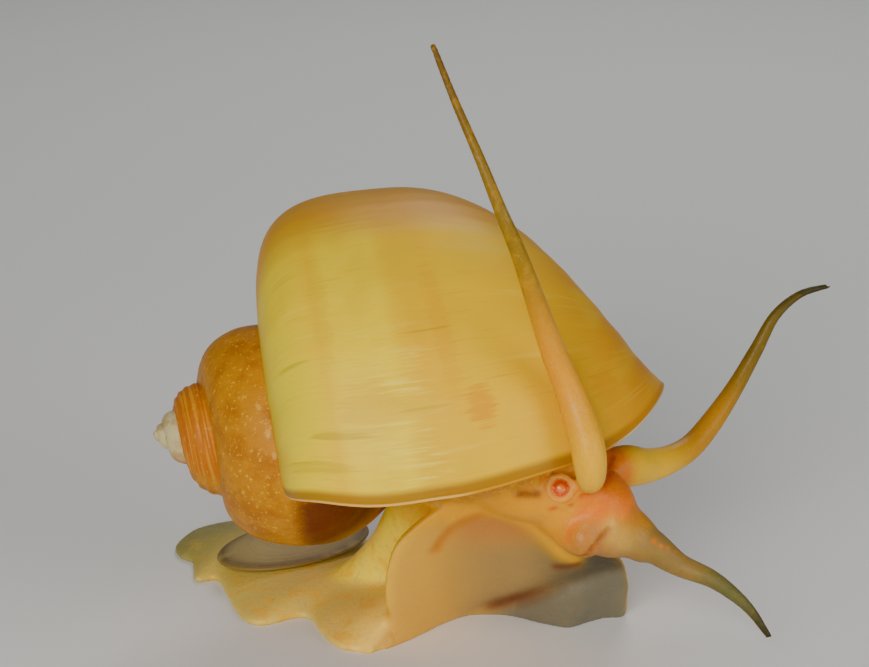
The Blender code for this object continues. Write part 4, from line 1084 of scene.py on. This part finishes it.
def makeSkin():
    forms = fleshForms()
    points, faces = joinForms(forms)
    raw = meshPiece("skin", points, [faces])
    remesh = raw.modifiers.new("whole", "REMESH")
    remesh.mode = "VOXEL"
    remesh.voxel_size = skin["voxel"]
    mesh = bpy.data.meshes.new_from_object(raw.evaluated_get(bpy.context.evaluated_depsgraph_get()))
    raw.modifiers.clear()
    old = raw.data
    raw.data = mesh
    bpy.data.meshes.remove(old)
    points, edges = meshArrays(mesh)
    print("skin", len(points), "points")
    points = smoothed(points, edges, skin["smooth"])
    # head, neck and stalk flow together, but not the rings round the eyes; so do foot and stalk
    middle, reach, rounds, slope = skin["headJoint"]
    fromEye = np.min([distanceFrom(points, eye[0]) for eye in eyes.values()], 0)
    weight = (1 - between(*slope, distanceFrom(points, middle, reach))) * between(*skin["eyeClear"], fromEye)
    points = smoothed(points, edges, rounds, 0.6, weight)
    middle, reach, rounds, slope = skin["stalkJoint"]
    weight = 1 - between(*slope, distanceFrom(points, middle, reach))
    points = smoothed(points, edges, rounds, 0.6, weight * between(*skin["floorClear"], points[:, 2]))
    for middle, reach in skin["pits"]:
        weight = 1 - between(reach, reach + skin["pitEdge"], distanceFrom(points, middle))
        points = smoothed(points, edges, skin["pitRounds"], 0.6, weight * between(0.05, 0.5, points[:, 2]))
    onLimb = {}
    for name in ("near", "far", "palp"):
        points, onLimb[name] = ontoLimb(points, *limbs[name])
    normals = pointNormals(mesh, points)
    onDetail = {}
    for name, (path, width, depth, _, _) in details.items():
        onDetail[name] = nearDetail(points, path, width)
        points = points - normals * (onDetail[name] * depth)[:, None]
    points[points[:, 2] < skin["flat"], 2] = 0
    movePoints(mesh, points)
    mesh.polygons.foreach_set("use_smooth", np.ones(len(mesh.polygons), bool))
    facesOut(raw)
    paintSkin(mesh, points, edges, forms, onLimb, onDetail)
    return raw


tints = {
    # display colours
    "rear": (0.88, 0.76, 0.34), "corner": (0.98, 0.80, 0.34), "tail": (0.52, 0.50, 0.27),
    "stalk": (1.0, 0.88, 0.18), "shade": (0.80, 0.52, 0.0),
    "soleLeft": (0.84, 0.63, 0.22), "soleMiddle": (0.65, 0.52, 0.29), "soleRight": (0.31, 0.29, 0.22),
    "soleTop": (0.76, 0.50, 0.22), "soleLip": (0.46, 0.43, 0.34), "creaseDark": (0.42, 0.20, 0.07),
    "rim": (0.96, 0.68, 0.0), "margin": (0.94, 0.76, 0.14), "groove": (0.74, 0.40, 0.0),
    "neck": (0.93, 0.63, 0.0), "crown": (0.93, 0.46, 0.0), "snout": (0.68, 0.44, 0.19),
    "palpRoot": (0.55, 0.44, 0.21), "palpMiddle": (0.55, 0.44, 0.21), "palpUp": (0.39, 0.38, 0.18),
    "palpTip": (0.22, 0.19, 0.07),
    "nearRoot": (0.93, 0.71, 0.03), "nearMiddle": (0.87, 0.58, 0.0), "nearUp": (0.52, 0.40, 0.0),
    "nearTip": (0.42, 0.31, 0.07), "farRoot": (0.97, 0.75, 0.0), "farMiddle": (0.74, 0.51, 0.0),
    "farUp": (0.44, 0.35, 0.0), "farTip": (0.18, 0.17, 0.03), "eyeRing": (0.96, 0.62, 0.20),
    "brown": (0.36, 0.15, 0.0), "slit": (0.52, 0.25, 0.0), "fold": (0.60, 0.28, 0.06),
    "redOrange": (0.84, 0.32, 0.0), "bumpHighlight": (0.86, 0.70, 0.40), "lobe": (0.76, 0.48, 0.25),
    "pale": (0.80, 0.66, 0.34),
}
skinPaint = {
    # in the order laid: tint, part, strength, then slopes, each a measure and where it gives 0 and 1;
    # row runs along a form, rimAt along the rim, rimFar away from it, crease up from the crease
    "under": (("corner", "rear", 1.0, ("x", -18.0, -9.0), ("y", -2.0, -6.0)),
              ("tail", "rear", 0.9, ("row", 0.35, 0.0)),
              ("soleLeft", "sole", 1.0),
              ("soleTop", "sole", 1.0, ("z", 8.0, 13.0), ("x", 0.0, 4.0)),
              ("soleMiddle", "sole", 1.0, ("row", 0.30, 0.55), ("z", 13.0, 9.0)),
              # the sole's right part is grey brown: its own colour with painted shade, where that side lies
              # in shadow
              ("soleRight", "sole", 1.0, ("row", 0.56, 0.85)),
              ("soleLip", "sole", 1.0, ("crease", 0.4, -0.6), ("x", 5.0, 9.0)),
              ("rim", "back", 1.0), ("stalk", "stalk", 1.0), ("shade", "stalk", 1.0, ("z", 11.0, 17.0)),
              ("neck", "head", 1.0)),
    # the crease's shadow, the band along the rim, then grey pink snout and lobe and the orange crown
    "over": (("creaseDark", "shadow", 0.8, ("x", 4.5, 6.5)),
             ("margin", "front", 0.45, ("rimFar", 1.4, 0.3), ("rimAt", 0.04, 0.12), ("rimAt", 0.35, 0.25)),
             ("rim", "flesh", 0.9, ("rimFar", 1.5, 0.5), ("rimAt", 0.26, 0.40), ("rimAt", 0.84, 0.74)),
             ("snout", "head", 0.9, ("x", 11.0, 14.5), ("snout", 16.6, 13.0)),
             ("lobe", "lobe", 0.8),
             ("crown", "head", 0.95, ("x", 12.8, 15.6), ("crown", 14.6, 17.2))),
    # by share of a limb's length: where its root's colour fades in, and the later ones
    "limbs": {"near": (0.03, 0.14), "far": (-0.02, 0.05), "palp": (0.02, 0.30)},
    "stages": (("Middle", 0.16, 0.38), ("Up", 0.42, 0.70), ("Tip", 0.74, 1.0)),
    "shadow": (0.25, 0.6, 1.3),                  # height over the crease, reach below and above
    "lobe": ((15.4, -14.4, 15.2), 1.7), "eyeRing": (2.1, 1.4),
    "mottle": {"rear": 1.0, "front": 0.05, "stalk": 1.0}, "headMottle": 0.3,
}


# colour of every point, from the nearest form and the place on it
def paintSkin(mesh, points, edges, forms, onLimb, onDetail):
    t = {k: np.array(c, float) for k, c in tints.items()}
    names = ["rear", "front", "stalk", *head, "stub"]
    sizes = [forms[n].shape[:2] for n in names]
    found = nearest(points, np.concatenate([forms[n].reshape(-1, 3) for n in names]))[0]
    who = np.repeat(np.arange(len(names)), [rows * size for rows, size in sizes])[found]
    row = np.concatenate([np.repeat(np.linspace(0, 1, rows), size) for rows, size in sizes])[found]
    column = np.concatenate([np.tile(np.arange(size) / size, rows) for rows, size in sizes])[found]
    x, y, z = points.T
    colour = np.tile(t["rear"], (len(points), 1))

    def blend(name, share):
        nonlocal colour
        share = np.clip(np.asarray(share, float), 0, 1)[:, None]
        colour = colour * (1 - share) + t[name] * share

    # each row's tint over the colour by part * strength * slopes
    def lay(rows):
        for name, part, strength, *slopes in rows:
            share = parts[part] * strength
            for measure, none, full in slopes:
                share = share * between(none, full, measures[measure])
            blend(name, share)

    front = who == 1
    across, under = flap["steps"]
    arc = column * (2 * across + under - 1) / across     # 0 at the rim, 1 at the fold
    rimAt, rimFar = nearest(points, smoothPath(flap["rim"], 400))
    measures = {"x": x, "y": y, "z": z, "row": row, "rimAt": rimAt / 400, "rimFar": rimFar,
                "crease": z - creaseAt(x)[0], "snout": z + (x - 15) * 0.2, "crown": z + (x - 15) * 0.25}
    parts = {"rear": who == 0, "stalk": who == 2, "head": (who > 2).astype(float),
             "sole": front & (arc < flap["soleEnd"]), "back": front & (arc > flap["soleEnd"])}
    lay(skinPaint["under"])
    colour = smoothed(colour, edges, 10, 0.5)
    lift, below, above = skinPaint["shadow"]
    fall = measures["crease"] - lift
    shadow = smoothed(parts["sole"].astype(float), edges, 2) * (1 - between(8.5, 13.0, x) * 0.9)
    parts["shadow"] = shadow * np.exp(-(fall / np.where(fall > 0, above, below)) ** 2)
    parts["front"] = np.clip(smoothed(front.astype(float), edges, 3), 0, 1)
    parts["head"] = np.clip(smoothed(parts["head"], edges, 8), 0, 1)
    parts["flesh"] = np.clip(parts["front"] + parts["head"], 0, 1)
    middle, reach = skinPaint["lobe"]
    parts["lobe"] = parts["head"] * np.exp(-(distanceFrom(points, middle) / reach) ** 2)
    lay(skinPaint["over"])
    colour = smoothed(colour, edges, 8, 0.5)
    mottle = np.array([skinPaint["mottle"].get(n, skinPaint["headMottle"]) for n in names])[who]
    mottle = smoothed(mottle * (1 - (who == 0) * (1 - between(0.1, 0.5, row)) * 0.6), edges, 8)
    for name, (start, end) in skinPaint["limbs"].items():
        s = onLimb[name]
        on = smoothed((s >= 0).astype(float), edges, 4) * between(start, end, s)
        blend(name + "Root", on)
        for stage, low, high in skinPaint["stages"]:
            blend(name + stage, on * between(low, high, s))
        mottle = mottle * (1 - on * 0.7)
    blend("eyeRing", between(*skinPaint["eyeRing"], distanceFrom(points, eyes["right"][0])) * 0.9)
    for name, (_, _, _, tint, strength) in details.items():
        blend(tint, onDetail[name] * strength)
    addValues(mesh, "tint", np.column_stack([linear(colour), np.ones(len(colour))]))
    addValues(mesh, "mottle", mottle)


def skinMaterial():
    m = Material("skin_wet", {"Roughness": 0.42, "Subsurface Weight": 0.3, "Subsurface Scale": 0.0012,
                              "Subsurface Radius": (1.0, 0.45, 0.15), "Coat Weight": 0.07,
                              "Coat Roughness": 0.2, "IOR": 1.4, "Specular IOR Level": 0.3})
    point = m.point()
    tint = m.attribute("tint", 0)
    mottle = m.attribute("mottle")
    blotch = m.noise(point, 0.55, 4.0, 0.65, 0.4)
    grain = m.noise(point, 2.2)
    dots = m.noise(point, 5.0, 2.0, 0.5)
    base = m.mix(blotch.step(0.50, 0.62) * mottle * 0.5, tint, (0.95, 0.69, 0.0))
    base = m.mix((1 - blotch.step(0.32, 0.45)) * mottle * 0.4, base, (0.82, 0.73, 0.44))
    base = m.mix(dots.step(0.60, 0.70) * mottle * 0.4, base, (0.98, 0.86, 0.46))
    base = m.mix((1 - grain.step(0.30, 0.46)) * (0.05 + mottle * 0.12), base, (0.64, 0.44, 0.08))
    m.feed("Base Color", base)
    m.feed("Roughness", 0.36 + grain * 0.18)
    m.feed("Normal", m.bump(grain * 0.7 + dots * 0.3, 0.00022, 0.5))
    return m.data


print("flesh")
otherNodes = ("shell", "mantle", "operculum", "eye_right", "eye_left")
finish(makeSkin(), skinMaterial(), "flesh_yellow", *[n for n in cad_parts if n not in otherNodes])

# eyes: orange with a darker ring

iris = ((0.0, (1.0, 0.60, 0.28)), (0.08, (0.98, 0.50, 0.14)), (0.14, (0.88, 0.32, 0.03)),
        (0.20, (0.86, 0.29, 0.03)), (0.26, (0.96, 0.46, 0.14)), (0.40, (0.97, 0.60, 0.24)),
        (1.0, (0.92, 0.55, 0.20)))


# sphere about the direction it looks in, with a cornea a little further out
def makeEye(name, middle, radius, direction):
    ahead, side, up = framed(direction)
    u = np.linspace(0.02, math.pi - 0.02, 48)[:, None, None]
    a = circle(64)[None, :, None]
    out = radius * (1 + 0.04 * np.exp(-(u / 0.5) ** 2))
    rings = np.array(middle) + out * (np.cos(u) * ahead + np.sin(u) * (np.cos(a) * side + np.sin(a) * up))
    points, tris = closeRings(rings)
    polar = np.repeat(u[:, 0, 0] / math.pi, 64)
    return meshPiece(name, points, [tris], None, {"polar": np.append(polar, (0.0, 1.0))})


def eyeMaterial():
    m = Material("eye_wet", {"Roughness": 0.2, "Coat Weight": 0.3, "Coat Roughness": 0.04, "IOR": 1.38})
    point = m.point()
    uneven = m.noise(point, 2.5)
    base = m.ramp(m.attribute("polar") + (uneven - 0.5) * 0.06, iris)
    # painted glints: pale specks of light on the wet eye
    base = m.mix(m.noise(point, 5.0, 2.0, 0.5).step(0.60, 0.68) * 0.6, base, (0.99, 0.74, 0.42))
    m.feed("Base Color", base)
    m.feed("Roughness", 0.10 + uneven * 0.08)
    return m.data


eyeWet = eyeMaterial()
for name, (middle, radius, direction, node) in eyes.items():
    finish(makeEye("eye_" + name + "_fine", middle, radius, direction), eyeWet, "eye_dark", node)

# operculum: thin horny lid that lies on the rear foot

operculum = {
    "middle": (13.7, 1.8), "reach": (6.2, 9.3), "turn": 0.2,     # along and across the foot
    "height": 2.75, "sag": 0.35, "thick": 0.31, "ridges": 0.012,
    "paint": ((0.0, (0.74, 0.66, 0.42)), (0.45, (0.70, 0.62, 0.38)), (0.80, (0.62, 0.54, 0.31)),
              (0.93, (0.42, 0.34, 0.15)), (1.0, (0.52, 0.43, 0.19))),
}


# oval by share of its reach; its faces stand off by thick * sqrt(1 - share^20), the upper one ridged
def makeOperculum():
    turn = np.linspace(0.02, math.pi - 0.02, 90)[:, None]
    share = np.sin(turn) ** 0.5
    q = circle(128)[None, :]
    ahead = operculum["reach"][0] * share * np.cos(q)
    left = operculum["reach"][1] * share * np.sin(q)
    c, t = math.cos(operculum["turn"]), math.sin(operculum["turn"])
    height = operculum["height"] - operculum["sag"] * share ** 2 * (1 - share ** 2 * np.cos(q))
    upper = np.cos(turn) > 0
    lift = operculum["thick"] * np.sqrt(np.clip(1 - share ** 20, 0, 1)) * np.sign(np.cos(turn))
    ridge = operculum["ridges"] * upper * np.sin(share * 60 + 1.5 * np.sin(share * 13)) * (1 - share ** 8)
    rings = footPoint(operculum["middle"][0] + ahead * c + left * t,
                      operculum["middle"][1] - ahead * t + left * c, height + lift + ridge)
    points, tris = closeRings(rings)
    values = np.append(np.broadcast_to(share, rings.shape[:2]).ravel(), (0.0, 0.0))
    return meshPiece("operculum_fine", points, [tris], None, {"share": values})


def operculumMaterial():
    m = Material("horn_thin", {"Roughness": 0.35, "Subsurface Weight": 0.25, "Subsurface Scale": 0.001,
                               "Subsurface Radius": (0.8, 0.6, 0.3), "Coat Weight": 0.06,
                               "Coat Roughness": 0.3, "IOR": 1.5, "Specular IOR Level": 0.25})
    share = m.attribute("share")
    point = m.point()
    cloud = m.noise(point, 0.35)
    rings = m.noise(m.join(share * 34, cloud * 2.0), 1.0)
    base = m.ramp(share, operculum["paint"])
    base = m.mix(rings.step(0.50, 0.62) * 0.45, base, (0.58, 0.51, 0.31))
    base = m.mix((1 - rings.step(0.34, 0.46)) * 0.35, base, (0.44, 0.37, 0.18))
    base = m.mix(cloud.step(0.52, 0.66) * 0.4, base, (0.70, 0.62, 0.36))
    m.feed("Base Color", base)
    m.feed("Roughness", 0.40 + rings * 0.2)
    m.feed("Normal", m.bump(rings, 0.0001, 0.5))
    return m.data


finish(makeOperculum(), operculumMaterial(), "operculum_horn", "operculum")

# stage: pale floor, soft studio light, the photo's viewing angle

stage = {
    "camera": (0.0, 18.0, 300.0), "target": (0.0, 0.0, 30.2), "lens": 124.28,
    "floor": (0.94, 0.94, 0.93), "side": 1.6, "front": -1.0, "flat": (-0.5, 0.6, 20),    # metres
    "curve": 0.4, "top": 1.6, "world": (0.95, 0.97, 1.0, 1.0), "worldStrength": 0.12,
    "lamps": {   # place in metres, size, power and colour
        "key": ((-0.12, -0.42, 0.18), 0.26, 1.8, (1.0, 0.97, 0.93)),
        "fill": ((0.34, -0.26, 0.16), 0.30, 0.7, (0.97, 0.98, 1.0)),
        "rim": ((0.05, 0.30, 0.30), 0.22, 0.4, (1.0, 1.0, 1.0)),
    },
}


# an object that looks at a point down its own -Z
def aim(thing, where, target):
    thing.location = where
    thing.rotation_mode = "QUATERNION"
    thing.rotation_quaternion = (target - where).to_track_quat("-Z", "Y")
    bpy.context.scene.collection.objects.link(thing)


def makeCamera():
    azimuth, rise, distance = stage["camera"]
    a, e = math.radians(azimuth), math.radians(rise)
    back = Vector((math.sin(a) * math.cos(e), -math.cos(a) * math.cos(e), math.sin(e)))
    target = Vector(place(stage["target"]))
    camera = bpy.data.objects.new("camera", bpy.data.cameras.new("camera"))
    camera.data.lens = stage["lens"]
    camera.data.sensor_width = 36.0
    camera.data.clip_start = 0.01
    camera.data.clip_end = 20.0
    aim(camera, target + back * distance * mm, target)
    bpy.context.scene.camera = camera


# flat, then a quarter circle up far behind
def makeFloor():
    t = np.linspace(0, math.pi / 2, 60)
    level, curve = np.linspace(*stage["flat"]), stage["curve"]
    run = np.concatenate([[stage["front"]], level, level[-1] + curve * np.sin(t), [level[-1] + curve]])
    lift = np.concatenate([[0.0], level * 0, curve * (1 - np.cos(t)), [stage["top"]]])
    across = np.linspace(-stage["side"], stage["side"], 9)
    grid = np.stack(np.broadcast_arrays(across[None, :], run[:, None], lift[:, None]), -1)
    floor = meshPiece("floor", grid.reshape(-1, 3) / mm + origin, [gridFaces(len(run), 9)])
    m = Material("floor_plain", {"Roughness": 0.75})
    shade = m.noise(m.point(), 0.008, 2.0, 0.5)
    dim = [c * 0.985 for c in stage["floor"]]
    m.feed("Base Color", m.mix(shade, stage["floor"], dim))
    floor.data.materials.append(m.data)


def makeLights():
    world = bpy.data.worlds.new("world")
    bpy.context.scene.world = world
    world.use_nodes = True
    world.node_tree.nodes["Background"].inputs[0].default_value = stage["world"]
    world.node_tree.nodes["Background"].inputs[1].default_value = stage["worldStrength"]
    for name, (where, size, power, colour) in stage["lamps"].items():
        light = bpy.data.objects.new(name, bpy.data.lights.new(name, "AREA"))
        light.data.shape = "DISK"
        light.data.size = size
        light.data.energy = power
        light.data.color = colour
        aim(light, Vector(where), Vector((0, 0, 0.02)))


makeCamera()
makeFloor()
makeLights()
print("stage")
